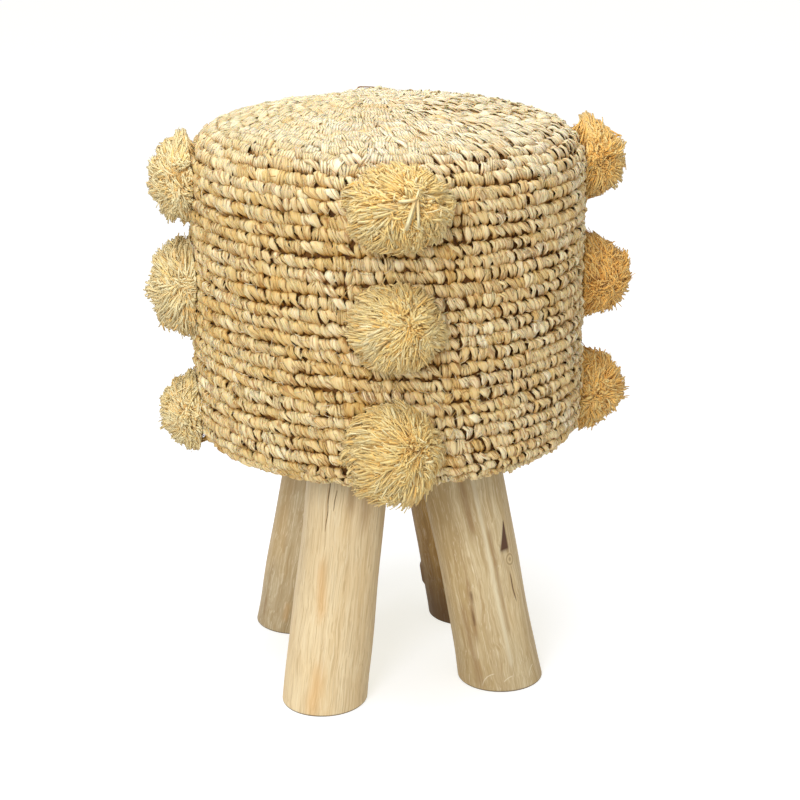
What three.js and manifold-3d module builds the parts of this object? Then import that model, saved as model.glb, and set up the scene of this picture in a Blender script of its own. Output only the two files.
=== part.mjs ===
// Round pouf stool on four splayed log legs: a foam drum in a crocheted raffia cover, with
// columns of raffia pompoms sewn to its wall. Millimetres, +Z up. The origin is on the floor
// under the middle of the drum, and -Y is the front.

import * as THREE from "three";
import { mergeVertices } from "three/addons/utils/BufferGeometryUtils.js";
import Module from "manifold-3d";

const wasm = await Module();
wasm.setup();

// Drum and its crocheted cover
const stoolHeight = 450;
const coverBottom = 190;
const coverDiameter = 296;
const coverWall = 7.5;
const shoulderRadius = 37;
const crownRise = 15.5;
const lowerEdgeRadius = 19;
const hemWidth = 17;

// Layers inside the cover, from the outside in
const liningWall = 1.5;
const dustClothWall = 0.8;
const dustClothMargin = 4;
const boardThickness = 18;

// Gap that pieces keep to what they rest on, and how far a cutting shape runs past a face
const seatGap = 0.3;
const overrun = 2;

// Log legs
const legTopDiameter = 62;
const legFootDiameter = 65;
const legTopSpacing = 5.7;
const legFootRing = 99;
const legOpeningClearance = 1;

// Coach screws and their washers
const screwLength = 80;
const screwDiameter = 8;
const screwTipLength = 9;
const screwHeadWidth = 13;
const screwHeadHeight = 5.5;
const washerDiameter = 24;
const washerThickness = 2;
const foamPocketClearance = 1;

// Upholstery staples
const stapleWidth = 10;
const stapleWire = 1.2;
const stapleLength = 20;
const stapleCount = 12;

// Pompoms and the cords that tie them
const pompomDiameter = 70;
const tieDiameter = 2.8;
const bindingDiameter = 7;
const bindingLength = 6;
const bindingStart = 1.8;
const knotDiameter = 7;
const knotThickness = 3;

// Facets
const drumSides = 40;
const lowerEdgeSteps = 2;
const shoulderSteps = 4;
const crownSteps = 3;
const logSides = 20;
const logRings = 7;
const screwSides = 10;
const screwHeadSides = 6;
const washerSides = 16;
const tieSides = 8;
const pompomDetail = 3;

// Each leg: its turn about the drum in degrees, and how the branch grew. The bow is a share of
// its length; the swell and the oval are shares of its radius; the phases are in turns. The tops
// stand as close together as their spacing allows.
const legs = [
  { name: "front_left", turn: -123.9, bowShare: 0.008, swellShare: 0.022, ovalShare: 0.018, phase: 0.1 },
  { name: "front_right", turn: -32.2, bowShare: -0.006, swellShare: 0.026, ovalShare: 0.022, phase: 0.45 },
  { name: "back_right", turn: 44.4, bowShare: 0.007, swellShare: 0.02, ovalShare: 0.02, phase: 0.7 },
  { name: "back_left", turn: 139.7, bowShare: -0.008, swellShare: 0.024, ovalShare: 0.016, phase: 0.9 },
];

// Each pompom: its turn about the drum in degrees, its height as a share of the cover's height,
// and its reach from the wall, width and height as shares of the pompom diameter.
const pompomColumns = [
  {
    side: "front",
    pompoms: [
      { name: "top", turn: -90.7, levelShare: 0.793, sizeShares: [0.49, 1.1, 0.93] },
      { name: "middle", turn: -91.4, levelShare: 0.472, sizeShares: [0.48, 1.03, 0.94] },
      { name: "bottom", turn: -92.7, levelShare: 0.12, sizeShares: [0.5, 1.03, 1.13] },
    ],
  },
  {
    side: "left",
    pompoms: [
      { name: "top", turn: 182.2, levelShare: 0.775, sizeShares: [0.42, 1, 1.04] },
      { name: "middle", turn: 182.5, levelShare: 0.454, sizeShares: [0.5, 1, 1.08] },
      { name: "bottom", turn: 182.8, levelShare: 0.08, sizeShares: [0.41, 0.96, 0.89] },
    ],
  },
  {
    side: "right",
    pompoms: [
      { name: "top", turn: 1.5, levelShare: 0.799, sizeShares: [0.48, 0.94, 0.9] },
      { name: "middle", turn: 0.5, levelShare: 0.464, sizeShares: [0.56, 0.98, 0.92] },
      { name: "bottom", turn: 1, levelShare: 0.117, sizeShares: [0.5, 0.95, 0.9] },
    ],
  },
  {
    side: "back",
    pompoms: [
      { name: "top", turn: 89.2, levelShare: 0.79, sizeShares: [0.5, 1.02, 0.94] },
      { name: "middle", turn: 90.6, levelShare: 0.47, sizeShares: [0.51, 1, 0.98] },
      { name: "bottom", turn: 90, levelShare: 0.11, sizeShares: [0.47, 1.01, 0.95] },
    ],
  },
];
const tuftDepthShare = 0.035;
const tuftTurns = 1.4;

// Sizes that follow from those above
const coverRadius = coverDiameter / 2;
const coverHeight = stoolHeight - coverBottom;
const lowerEdgeCentreRadius = coverRadius - lowerEdgeRadius;
const lowerEdgeCentreHeight = coverBottom + lowerEdgeRadius;
const shoulderCentreRadius = coverRadius - shoulderRadius;
const crownDrop = shoulderRadius + crownRise;
const crownRadius =
  (crownDrop ** 2 + shoulderCentreRadius ** 2 - shoulderRadius ** 2) / (2 * crownRise);
const crownCentreHeight = stoolHeight - crownRadius;
const shoulderCentreHeight = stoolHeight - crownDrop;
const crownLean = Math.asin(shoulderCentreRadius / (crownRadius - shoulderRadius));
const hemInnerRadius = lowerEdgeCentreRadius - hemWidth;
const hemMiddleRadius = lowerEdgeCentreRadius - hemWidth / 2;

const liningInset = coverWall + seatGap;
const liningInnerInset = liningInset + liningWall;
const fillingInset = liningInnerInset + seatGap;
const dustClothTop = coverBottom - seatGap;
const dustClothBottom = dustClothTop - dustClothWall;
const dustClothRadius = lowerEdgeCentreRadius - dustClothMargin;
const stapleBottom = dustClothBottom - seatGap - stapleWire;
const boardBottom = coverBottom + fillingInset;
const boardTop = boardBottom + boardThickness;
const foamBottom = boardTop + seatGap;
const foamTop = shoulderCentreHeight - seatGap;

const legLength = boardBottom - seatGap;
const legTurns = legs.map((leg) => THREE.MathUtils.degToRad(leg.turn)).sort((a, b) => a - b);
const legGaps = legTurns.slice(1).map((turn, i) => turn - legTurns[i]);
const closestLegGap = Math.min(...legGaps);
const legTopRing = (legTopDiameter + legTopSpacing) / (2 * Math.sin(closestLegGap / 2));
const washerBottom = boardTop + seatGap;
const screwSeat = washerBottom + washerThickness + seatGap;

const fullTurn = 2 * Math.PI;
const quarterTurn = Math.PI / 2;

// Geometry helpers

// A geometry with its shared corners merged and its slivers without area left out.
function closedShape(geometry) {
  const bare = geometry.clone();
  bare.deleteAttribute("normal");
  bare.deleteAttribute("uv");
  const merged = mergeVertices(bare);
  const corners = Array.from(merged.index.array);
  const kept = [];
  for (let i = 0; i < corners.length; i += 3) {
    const [a, b, c] = corners.slice(i, i + 3);
    if (a !== b && b !== c && c !== a) {
      kept.push(a, b, c);
    }
  }
  merged.setIndex(kept);
  return merged;
}

function toManifold(geometry) {
  const shape = closedShape(geometry);
  return new wasm.Manifold(
    new wasm.Mesh({
      numProp: 3,
      vertProperties: new Float32Array(shape.attributes.position.array),
      triVerts: new Uint32Array(shape.index.array),
    }),
  );
}

function toGeometry(manifold) {
  const mesh = manifold.getMesh();
  const geometry = new THREE.BufferGeometry();
  geometry.setAttribute("position", new THREE.BufferAttribute(mesh.vertProperties, mesh.numProp));
  geometry.setIndex(new THREE.BufferAttribute(mesh.triVerts, 1));
  return geometry;
}

function cut(geometry, tools) {
  let solid = toManifold(geometry);
  for (const tool of tools) {
    solid = solid.subtract(toManifold(tool));
  }
  return toGeometry(solid);
}

function overlapOf(geometry, other) {
  return toGeometry(toManifold(geometry).intersect(toManifold(other)));
}

function joined(geometry, other) {
  return toGeometry(toManifold(geometry).add(toManifold(other)));
}

function moved(geometry, x, y, z) {
  return geometry.clone().translate(x, y, z);
}

// A body turned from an outline of [radius, height] points, its axis along Z.
function turned(outline, sides) {
  const points = outline.map(([radius, height]) => new THREE.Vector2(radius, height));
  return new THREE.LatheGeometry(points, sides).rotateX(quarterTurn);
}

function uprightCylinder(radius, bottom, top, sides) {
  return turned([[0, bottom], [radius, bottom], [radius, top], [0, top]], sides);
}

function arc(centreRadius, centreHeight, radius, from, to, steps) {
  const points = [];
  for (let i = 0; i <= steps; i += 1) {
    const angle = from + ((to - from) * i) / steps;
    points.push([
      centreRadius + radius * Math.cos(angle),
      centreHeight + radius * Math.sin(angle),
    ]);
  }
  return points;
}

// The drum's outline drawn in by an inset from the cover's outer face: from the hem or the
// middle of the underside, round the lower edge, up the wall, over the shoulder and the crown.
function drumOutline(inset, startRadius) {
  const crownStart = quarterTurn - crownLean;
  const lowerEdge = arc(
    lowerEdgeCentreRadius,
    lowerEdgeCentreHeight,
    lowerEdgeRadius - inset,
    -quarterTurn,
    0,
    lowerEdgeSteps,
  );
  const shoulder = arc(
    shoulderCentreRadius,
    shoulderCentreHeight,
    shoulderRadius - inset,
    0,
    crownStart,
    shoulderSteps,
  );
  const crown = arc(0, crownCentreHeight, crownRadius - inset, crownStart, quarterTurn, crownSteps);
  const middle = [0, stoolHeight - inset];
  return [
    [startRadius, coverBottom + inset],
    ...lowerEdge,
    ...shoulder,
    ...crown.slice(1, -1),
    middle,
  ];
}

// A fabric bag of the drum's shape, open under the stool inside its hem.
function drumBag(outerInset, wall) {
  const inner = drumOutline(outerInset + wall, hemInnerRadius).reverse();
  const outer = drumOutline(outerInset, hemInnerRadius);
  return turned([...inner, ...outer], drumSides);
}

// What fills the drum between two heights.
function drumSlice(inset, bottom, top) {
  const whole = turned(drumOutline(inset, 0), drumSides);
  return overlapOf(whole, uprightCylinder(coverDiameter, bottom, top, drumSides));
}

// Pieces

// A debarked branch: it tapers, swells, bows and is a little oval. It leans out towards its foot
// by a shear, so that both sawn ends stay level. Its foot is centred on its own origin. It can be
// grown all round, to make room for it in something else.
function logShape(leg, grow) {
  const shape = closedShape(new THREE.CylinderGeometry(1, 1, 1, logSides, logRings));
  const position = shape.attributes.position;
  const phase = leg.phase * fullTurn;
  const lean = legTopRing - legFootRing;
  const stretch = Math.hypot(legLength, lean) / legLength;
  for (let i = 0; i < position.count; i += 1) {
    const rim = Math.hypot(position.getX(i), position.getZ(i));
    const angle = Math.atan2(position.getZ(i), position.getX(i));
    const rise = position.getY(i) + 1 / 2;
    const swell = leg.swellShare * Math.sin(fullTurn * rise + phase);
    const oval = leg.ovalShare * Math.cos(2 * angle + phase);
    const taper = THREE.MathUtils.lerp(legFootDiameter, legTopDiameter, rise) / 2;
    const radius = rim * (taper * (1 + swell + oval) + grow);
    const bow = leg.bowShare * legLength * Math.sin(Math.PI * rise);
    position.setXYZ(
      i,
      radius * Math.cos(angle) * stretch + lean * rise + bow * Math.cos(phase),
      -radius * Math.sin(angle) + bow * Math.sin(phase),
      legLength * rise + grow * (2 * rise - 1),
    );
  }
  return shape;
}

// A coach screw's shank, its point down and its seat at its own origin.
function screwShank(clearance, top) {
  const radius = screwDiameter / 2 + clearance;
  return turned(
    [
      [0, -screwLength - clearance],
      [radius, screwTipLength - screwLength],
      [radius, top],
      [0, top],
    ],
    screwSides,
  );
}

function coachScrew() {
  const headRadius = screwHeadWidth / Math.sqrt(3);
  const head = uprightCylinder(headRadius, 0, screwHeadHeight, screwHeadSides);
  return joined(screwShank(0, screwHeadHeight / 2), head);
}

function washer() {
  const inner = screwDiameter / 2 + seatGap;
  const outer = washerDiameter / 2;
  return turned(
    [[inner, 0], [outer, 0], [outer, washerThickness], [inner, washerThickness], [inner, 0]],
    washerSides,
  );
}

// A staple with its crown down and its legs up, its crown's lower face at its own origin.
function stapleShape(clearance) {
  const outer = stapleWidth / 2 + clearance;
  const inner = stapleWidth / 2 - stapleWire - clearance;
  const crown = stapleWire + clearance;
  const top = stapleLength + clearance;
  const outline = new THREE.Shape([
    new THREE.Vector2(-outer, -clearance),
    new THREE.Vector2(outer, -clearance),
    new THREE.Vector2(outer, top),
    new THREE.Vector2(inner, top),
    new THREE.Vector2(inner, crown),
    new THREE.Vector2(-inner, crown),
    new THREE.Vector2(-inner, top),
    new THREE.Vector2(-outer, top),
  ]);
  const depth = stapleWire + 2 * clearance;
  return new THREE.ExtrudeGeometry(outline, { depth, bevelEnabled: false })
    .translate(0, 0, -depth / 2)
    .rotateX(quarterTurn);
}

// A pompom's cord along X: a knot behind the cover's wall, the cord through it, and the binding
// round the strands. The wall's outer face is at its own origin.
function tieShape(clearance, inwardRun) {
  const knotBack = -coverWall + seatGap;
  const knotFront = knotBack + knotThickness + clearance;
  const bindingBack = bindingStart - clearance;
  const bindingFront = bindingStart + bindingLength + clearance;
  const knotRadius = knotDiameter / 2 + clearance;
  const cordRadius = tieDiameter / 2 + clearance;
  const bindingRadius = bindingDiameter / 2 + clearance;
  return turned(
    [
      [0, knotBack - inwardRun],
      [knotRadius, knotBack - inwardRun],
      [knotRadius, knotFront],
      [cordRadius, knotFront],
      [cordRadius, bindingBack],
      [bindingRadius, bindingBack],
      [bindingRadius, bindingFront],
      [0, bindingFront],
    ],
    tieSides,
  ).rotateY(quarterTurn);
}

// A pompom's ball of cut strands, which points out along X from the wall's face.
function pompomBall(sizeShares, phase, grow) {
  const shape = closedShape(new THREE.IcosahedronGeometry(1, pompomDetail));
  const position = shape.attributes.position;
  const [reach, halfWidth, halfHeight] = [sizeShares[0], sizeShares[1] / 2, sizeShares[2] / 2];
  const wave = tuftTurns * fullTurn;
  for (let i = 0; i < position.count; i += 1) {
    const [x, y, z] = [position.getX(i), position.getY(i), position.getZ(i)];
    const ripple = Math.sin(wave * x + phase) * Math.sin(wave * y - phase) + Math.sin(wave * z + phase);
    const tuft = 1 + tuftDepthShare * (ripple - 1);
    position.setXYZ(
      i,
      x * (pompomDiameter * reach * tuft + grow),
      y * (pompomDiameter * halfWidth * tuft + grow),
      z * (pompomDiameter * halfHeight * tuft + grow),
    );
  }
  return shape;
}

// Finishes
const finishes = {
  leaf: new THREE.MeshStandardMaterial({ color: 0xe4cb98, roughness: 0.6, metalness: 0 }),
  pompom: new THREE.MeshStandardMaterial({ color: 0xe6c585, roughness: 0.65, metalness: 0 }),
  log: new THREE.MeshStandardMaterial({ color: 0xd8bd92, roughness: 0.6, metalness: 0 }),
  plywood: new THREE.MeshStandardMaterial({ color: 0xcfae7c, roughness: 0.7, metalness: 0 }),
  foam: new THREE.MeshStandardMaterial({ color: 0xefe6c8, roughness: 0.9, metalness: 0 }),
  calico: new THREE.MeshStandardMaterial({ color: 0xe9e0cb, roughness: 0.85, metalness: 0 }),
  dustCloth: new THREE.MeshStandardMaterial({ color: 0x2b2927, roughness: 0.9, metalness: 0 }),
  steel: new THREE.MeshStandardMaterial({ color: 0xb9bcc0, roughness: 0.35, metalness: 1 }),
};

function named(name, geometry, finish) {
  const mesh = new THREE.Mesh(geometry, finish);
  mesh.name = name;
  return mesh;
}

const stool = new THREE.Group();

// Legs with their screws and washers, each in a group turned about the drum's axis
const legGroups = legs.map((leg) => {
  const group = new THREE.Group();
  group.rotation.z = THREE.MathUtils.degToRad(leg.turn);
  const log = moved(logShape(leg, 0), legFootRing, 0, 0);
  const pilot = moved(screwShank(seatGap, overrun), legTopRing, 0, screwSeat);
  const shape = named(`leg_${leg.name}`, cut(log, [pilot]), finishes.log);
  const ring = named(`leg_washer_${leg.name}`, washer(), finishes.steel);
  const screw = named(`leg_screw_${leg.name}`, coachScrew(), finishes.steel);
  ring.position.set(legTopRing, 0, washerBottom);
  screw.position.set(legTopRing, 0, screwSeat);
  group.add(shape, ring, screw);
  stool.add(group);
  group.updateMatrixWorld();
  return { leg, group };
});

// Room that the legs and screws need in what they pass through
const legOpenings = legGroups.map(({ leg, group }) =>
  moved(logShape(leg, legOpeningClearance), legFootRing, 0, 0).applyMatrix4(group.matrixWorld),
);
const screwHoles = legGroups.map(({ group }) =>
  uprightCylinder(
    screwDiameter / 2 + seatGap,
    legLength - overrun,
    screwSeat + overrun,
    screwSides,
  )
    .translate(legTopRing, 0, 0)
    .applyMatrix4(group.matrixWorld),
);
const headPockets = legGroups.map(({ group }) =>
  uprightCylinder(
    washerDiameter / 2 + foamPocketClearance,
    boardTop - overrun,
    screwSeat + screwHeadHeight + foamPocketClearance,
    washerSides,
  )
    .translate(legTopRing, 0, 0)
    .applyMatrix4(group.matrixWorld),
);

// Staples round the hem
const stapleSlots = [];
for (let i = 0; i < stapleCount; i += 1) {
  const group = new THREE.Group();
  group.rotation.z = (fullTurn * (i + 1 / 2)) / stapleCount;
  const number = String(i + 1).padStart(2, "0");
  const staple = named(`hem_staple_${number}`, stapleShape(0), finishes.steel);
  staple.position.set(hemMiddleRadius, 0, stapleBottom);
  staple.rotation.z = quarterTurn;
  group.add(staple);
  stool.add(group);
  group.updateMatrixWorld();
  stapleSlots.push(stapleShape(seatGap).applyMatrix4(staple.matrixWorld));
}

// Pompoms with their ties, each in a group on the wall. One that reaches its upper neighbour is
// pressed in by it.
const wallFace = turned(drumOutline(-seatGap, 0), drumSides);
const tieHoles = [];
pompomColumns.forEach(({ side, pompoms }, column) => {
  let upper = null;
  pompoms.forEach((pompom, row) => {
    const turn = new THREE.Group();
    const station = new THREE.Group();
    turn.rotation.z = THREE.MathUtils.degToRad(pompom.turn);
    station.position.set(coverRadius, 0, coverBottom + coverHeight * pompom.levelShare);
    turn.add(station);
    stool.add(turn);
    turn.updateMatrixWorld(true);
    const toStation = station.matrixWorld.clone().invert();
    const phase = column * pompoms.length + row;
    const tools = [wallFace.clone().applyMatrix4(toStation), tieShape(seatGap, overrun)];
    if (upper) {
      tools.push(upper.clone().applyMatrix4(toStation));
    }
    const ball = cut(pompomBall(pompom.sizeShares, phase, 0), tools);
    const name = `${side}_${pompom.name}`;
    station.add(named(`pompom_${name}`, ball, finishes.pompom));
    station.add(named(`pompom_tie_${name}`, tieShape(0, 0), finishes.leaf));
    tieHoles.push(tieShape(seatGap, overrun).applyMatrix4(station.matrixWorld));
    upper = pompomBall(pompom.sizeShares, phase, seatGap).applyMatrix4(station.matrixWorld);
  });
});

// Crocheted cover, lining, dust cloth, board and filling
const cover = cut(drumBag(0, coverWall), [...tieHoles, ...stapleSlots, ...legOpenings]);
const lining = cut(drumBag(liningInset, liningWall), [...stapleSlots, ...legOpenings]);
const dustCloth = cut(
  uprightCylinder(dustClothRadius, dustClothBottom, dustClothTop, drumSides),
  [...stapleSlots, ...legOpenings],
);
const board = cut(drumSlice(fillingInset, boardBottom, boardTop), [...stapleSlots, ...screwHoles]);
const foamBlock = cut(drumSlice(fillingInset, foamBottom, foamTop), headPockets);
const crownPad = drumSlice(fillingInset, shoulderCentreHeight, stoolHeight);

stool.add(
  named("raffia_cover", cover, finishes.leaf),
  named("inner_lining", lining, finishes.calico),
  named("dust_cover", dustCloth, finishes.dustCloth),
  named("base_board", board, finishes.plywood),
  named("foam_block", foamBlock, finishes.foam),
  named("crown_pad", crownPad, finishes.foam),
);

export default stool;
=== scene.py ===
# Round pouf stool: a foam drum in a crocheted cover of split palm leaf, with columns of leaf pompoms
# sewn to its wall, on four splayed legs cut from debarked branches. Metres, +Z up, the front at -Y.

import math

import bmesh
import bpy
import numpy as np
from mathutils import Matrix, Vector


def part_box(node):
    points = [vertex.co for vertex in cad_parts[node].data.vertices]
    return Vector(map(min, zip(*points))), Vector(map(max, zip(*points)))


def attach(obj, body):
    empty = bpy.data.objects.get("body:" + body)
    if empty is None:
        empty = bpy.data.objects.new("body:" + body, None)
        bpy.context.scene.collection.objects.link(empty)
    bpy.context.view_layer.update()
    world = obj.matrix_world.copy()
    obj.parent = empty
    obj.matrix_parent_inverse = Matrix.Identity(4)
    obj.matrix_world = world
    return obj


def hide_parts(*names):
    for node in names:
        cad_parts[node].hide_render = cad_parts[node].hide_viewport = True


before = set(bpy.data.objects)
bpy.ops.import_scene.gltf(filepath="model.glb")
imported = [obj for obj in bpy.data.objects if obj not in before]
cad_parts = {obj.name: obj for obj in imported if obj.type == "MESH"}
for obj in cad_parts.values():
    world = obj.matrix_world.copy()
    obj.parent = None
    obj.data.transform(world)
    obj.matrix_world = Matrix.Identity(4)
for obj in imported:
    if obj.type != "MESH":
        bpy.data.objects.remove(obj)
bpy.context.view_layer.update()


# Camera
# A short telephoto lens, a little above the seat and square to the front column of pompoms.
camera_place = (-0.0855, -1.3974, 0.666)
camera_heading = math.radians(-3.872)
camera_tilt = math.radians(72.03)
camera_roll = -0.0037
camera_lens = 85.1

bpy.ops.object.camera_add()
camera = bpy.context.object
camera.data.lens = camera_lens
camera.matrix_world = (
    Matrix.Translation(camera_place)
    @ Matrix.Rotation(camera_heading, 4, "Z")
    @ Matrix.Rotation(camera_tilt, 4, "X")
    @ Matrix.Rotation(camera_roll, 4, "Z")
)
bpy.context.scene.camera = camera
bpy.context.scene.view_settings.view_transform = "Standard"


# Floor and light
# A white studio floor that runs into a white background. One wide softbox hangs over the stool, a
# second stands at the upper left, and the room gives the rest.
floor_size = 12
# Where the floor is in full light these two add up to white; in a shadow the first one is left
floor_glow = (0.73, 0.715, 0.63, 1)
floor_shade = (0.45, 0.475, 0.61, 1)
floor_bounce = 0.75
room_light = 0.6
room_tint = (1.0, 0.98, 0.935)
softboxes = [
    {"name": "top_softbox", "place": (-0.35, -0.25, 2.3), "size": 1.3, "watts": 23},
    {"name": "key_softbox", "place": (-0.75, -1.95, 1.45), "size": 0.9, "watts": 23},
]
softbox_aim = Vector((0, 0, 0.3))


class Level:
    """A number or colour that a shader works out. Arithmetic on a number adds Math nodes."""

    def __init__(self, paint, socket):
        self.paint = paint
        self.socket = socket

    def __add__(self, other):
        return self.paint.sum_of("ADD", self, other)

    __radd__ = __add__

    def __sub__(self, other):
        return self.paint.sum_of("SUBTRACT", self, other)

    def __rsub__(self, other):
        return self.paint.sum_of("SUBTRACT", other, self)

    def __mul__(self, other):
        return self.paint.sum_of("MULTIPLY", self, other)

    __rmul__ = __mul__


class Paint:
    """The shader nodes of a material or of the room."""

    def __init__(self, owner):
        owner.use_nodes = True
        self.owner = owner
        self.tree = owner.node_tree
        self.tree.nodes.clear()

    def feed(self, socket, value):
        if isinstance(value, Level):
            self.tree.links.new(value.socket, socket)
        else:
            socket.default_value = value

    def node(self, kind, settings=None, inputs=None, output=0):
        """A node with its settings made first, then the values or links of its sockets."""
        node = self.tree.nodes.new(kind)
        for name, value in (settings or {}).items():
            if name == "stops":
                self.set_stops(node.color_ramp, value)
            else:
                setattr(node, name, value)
        for key, value in (inputs or {}).items():
            self.feed(node.inputs[key], value)
        return Level(self, node.outputs[output])

    def show(self, surface, kind="ShaderNodeOutputMaterial"):
        self.feed(self.tree.nodes.new(kind).inputs["Surface"], surface)

    def set_stops(self, ramp, stops):
        while len(ramp.elements) < len(stops):
            ramp.elements.new(1)
        for element, (place, colour) in zip(ramp.elements, stops):
            element.position = place
            element.color = colour

    def sum_of(self, operation, first, second):
        return self.node("ShaderNodeMath", {"operation": operation}, {0: first, 1: second})

    def parts(self, vector):
        """The three numbers of a vector."""
        outputs = self.node("ShaderNodeSeparateXYZ", {}, {0: vector}).socket.node.outputs
        return [Level(self, socket) for socket in outputs]

    def vector(self, x, y, z):
        return self.node("ShaderNodeCombineXYZ", {}, {0: x, 1: y, 2: z})

    def stretched(self, vector, scale):
        """A vector with each of its numbers multiplied."""
        return self.node("ShaderNodeVectorMath", {"operation": "MULTIPLY"}, {0: vector, 1: scale})

    def shifted(self, vector, step):
        return self.node("ShaderNodeVectorMath", {"operation": "ADD"}, {0: vector, 1: step})

    def distance(self, vector, spot):
        settings = {"operation": "DISTANCE"}
        return self.node("ShaderNodeVectorMath", settings, {0: vector, 1: spot}, 1)

    def noise(self, vector, detail, roughness, distortion=0.0):
        """A cloudy pattern between 0 and 1, one unit to a cloud."""
        inputs = {"Vector": vector, "Scale": 1.0, "Detail": detail}
        inputs |= {"Roughness": roughness, "Distortion": distortion}
        return self.node("ShaderNodeTexNoise", {}, inputs)

    def between(self, value, low, high):
        """A number's place between two others, from 0 to 1, eased at both ends."""
        settings = {"interpolation_type": "SMOOTHSTEP"}
        return self.node("ShaderNodeMapRange", settings, {0: value, 1: low, 2: high})

    def mix(self, share, first, second):
        inputs = {0: share, 6: first, 7: second}
        return self.node("ShaderNodeMix", {"data_type": "RGBA"}, inputs, 2)

    def layered(self, colour, layers):
        """A colour with screen colours laid over it in turn. A share of plain 0 adds nothing."""
        for share, over in layers:
            if share:
                colour = self.mix(share, colour, shade(*over))
        return colour

    def ramp(self, value, stops):
        """The screen colour at a number's place between stops."""
        stops = [(place, shade(*colour)) for place, colour in stops]
        return self.node("ShaderNodeValToRGB", {"stops": stops}, {"Fac": value})

    def attribute(self, name):
        return self.node("ShaderNodeAttribute", {"attribute_name": name}, {}, 1)

    def object_place(self):
        return self.node("ShaderNodeTexCoord", {}, {}, 3)

    def seen_rays(self):
        """1 on a ray that shows the white background: to the camera, or in metal or glass."""
        path = self.node("ShaderNodeLightPath").socket.node.outputs
        found = Level(self, path["Is Camera Ray"])
        for name in ("Is Glossy Ray", "Is Transmission Ray"):
            found = self.sum_of("MAXIMUM", found, Level(self, path[name]))
        return found

    def finish(self, colour, roughness, relief=None, others=None):
        """Shows a surface. Its relief is a height, how strongly it shows and how far it rises, and
        the others are constants for the shader's own sockets."""
        inputs = {"Base Color": colour, "Roughness": roughness, **(others or {})}
        if relief:
            height, strength, rise = relief
            bump = {"Height": height, "Strength": strength, "Distance": rise}
            inputs["Normal"] = self.node("ShaderNodeBump", {}, bump)
        self.show(self.node("ShaderNodeBsdfPrincipled", {}, inputs))


def deselect():
    if bpy.context.mode != "OBJECT":
        bpy.ops.object.mode_set(mode="OBJECT")
    bpy.ops.object.select_all(action="DESELECT")


def started(name):
    """The primitive that was just added, given its name."""
    piece = bpy.context.object
    piece.name = name
    piece.data.name = name
    return piece


deselect()
bpy.ops.mesh.primitive_plane_add(size=floor_size)
floor = started("floor")
paint = Paint(bpy.data.materials.new("studio_floor"))
floor.data.materials.append(paint.owner)
glowing = paint.node("ShaderNodeEmission", {}, {"Color": floor_glow})
shaded = paint.node("ShaderNodeBsdfDiffuse", {}, {"Color": floor_shade})
seen = paint.node("ShaderNodeAddShader", {}, {0: glowing, 1: shaded})
lit = paint.node("ShaderNodeBsdfDiffuse", {}, {"Color": (floor_bounce,) * 3 + (1,)})
paint.show(paint.node("ShaderNodeMixShader", {}, {0: paint.seen_rays(), 1: lit, 2: seen}))

room = bpy.data.worlds.new("studio_room")
bpy.context.scene.world = room
paint = Paint(room)
glow = paint.seen_rays()
strength = room_light + (1 - room_light) * glow
tint = paint.mix(glow, (*room_tint, 1), (1, 1, 1, 1))
background = paint.node("ShaderNodeBackground", {}, {"Color": tint, "Strength": strength})
paint.show(background, "ShaderNodeOutputWorld")

for box in softboxes:
    place = Vector(box["place"])
    bpy.ops.object.light_add(type="AREA", location=place)
    lamp = bpy.context.object
    lamp.name = box["name"]
    lamp.data.shape = "DISK"
    lamp.data.size = box["size"]
    lamp.data.energy = box["watts"]
    lamp.rotation_euler = (softbox_aim - place).to_track_quat("-Z", "Y").to_euler()


# Legs
# Four lengths of debarked branch, dried, sanded and sawn level at both ends. Each tapers, swells and
# bows as it grew, and carries its own drying cracks, knots and stains. A coach screw holds its top.
mm = 0.001
full_turn = 2 * math.pi
leg_length = 199.3 * mm
leg_top_radius = 31 * mm
leg_foot_radius = 32.5 * mm
leg_foot_ring = 99 * mm
leg_top_gap = 5.7 * mm
leg_sides = 160
leg_rings = 110
leg_rim_bevel = 1.3 * mm
leg_lump = 0.35 * mm
pilot_radius = 4.3 * mm
pilot_depth = 81 * mm
# How strongly the columns of faces are drawn together where a leg has its cracks
leg_crowding_share = 0.85
crack_waver = 0.3 * mm
# Which of a corner's three marks a stain adds to, and how much; the pale one is no stain but a
# painted highlight along a raised ridge
stains = {"dark": (0, 0.7), "brown": (1, 0.5), "orange": (2, 0.45), "pale": (2, -0.7)}
# The width of one growth ring in a knot seen end on, as a share of the knot's size
knot_ring_share = 0.58
scratch_half_width = 0.6 * mm
# How far up a leg it grows darker towards its foot, and the band at the rim of its foot that is
# painted dark: a painted contact shadow where it meets the floor
darkening_reach = 90 * mm
rim_contact_shadow = (1.6 * mm, 0.7 * mm)


def shade(red, green, blue):
    """A screen colour, each part from 0 to 255, as light."""
    parts = []
    for part in (red, green, blue):
        share = part / 255
        parts.append(share / 12.92 if share <= 0.04045 else ((share + 0.055) / 1.055) ** 2.4)
    return (*parts, 1.0)
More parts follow.
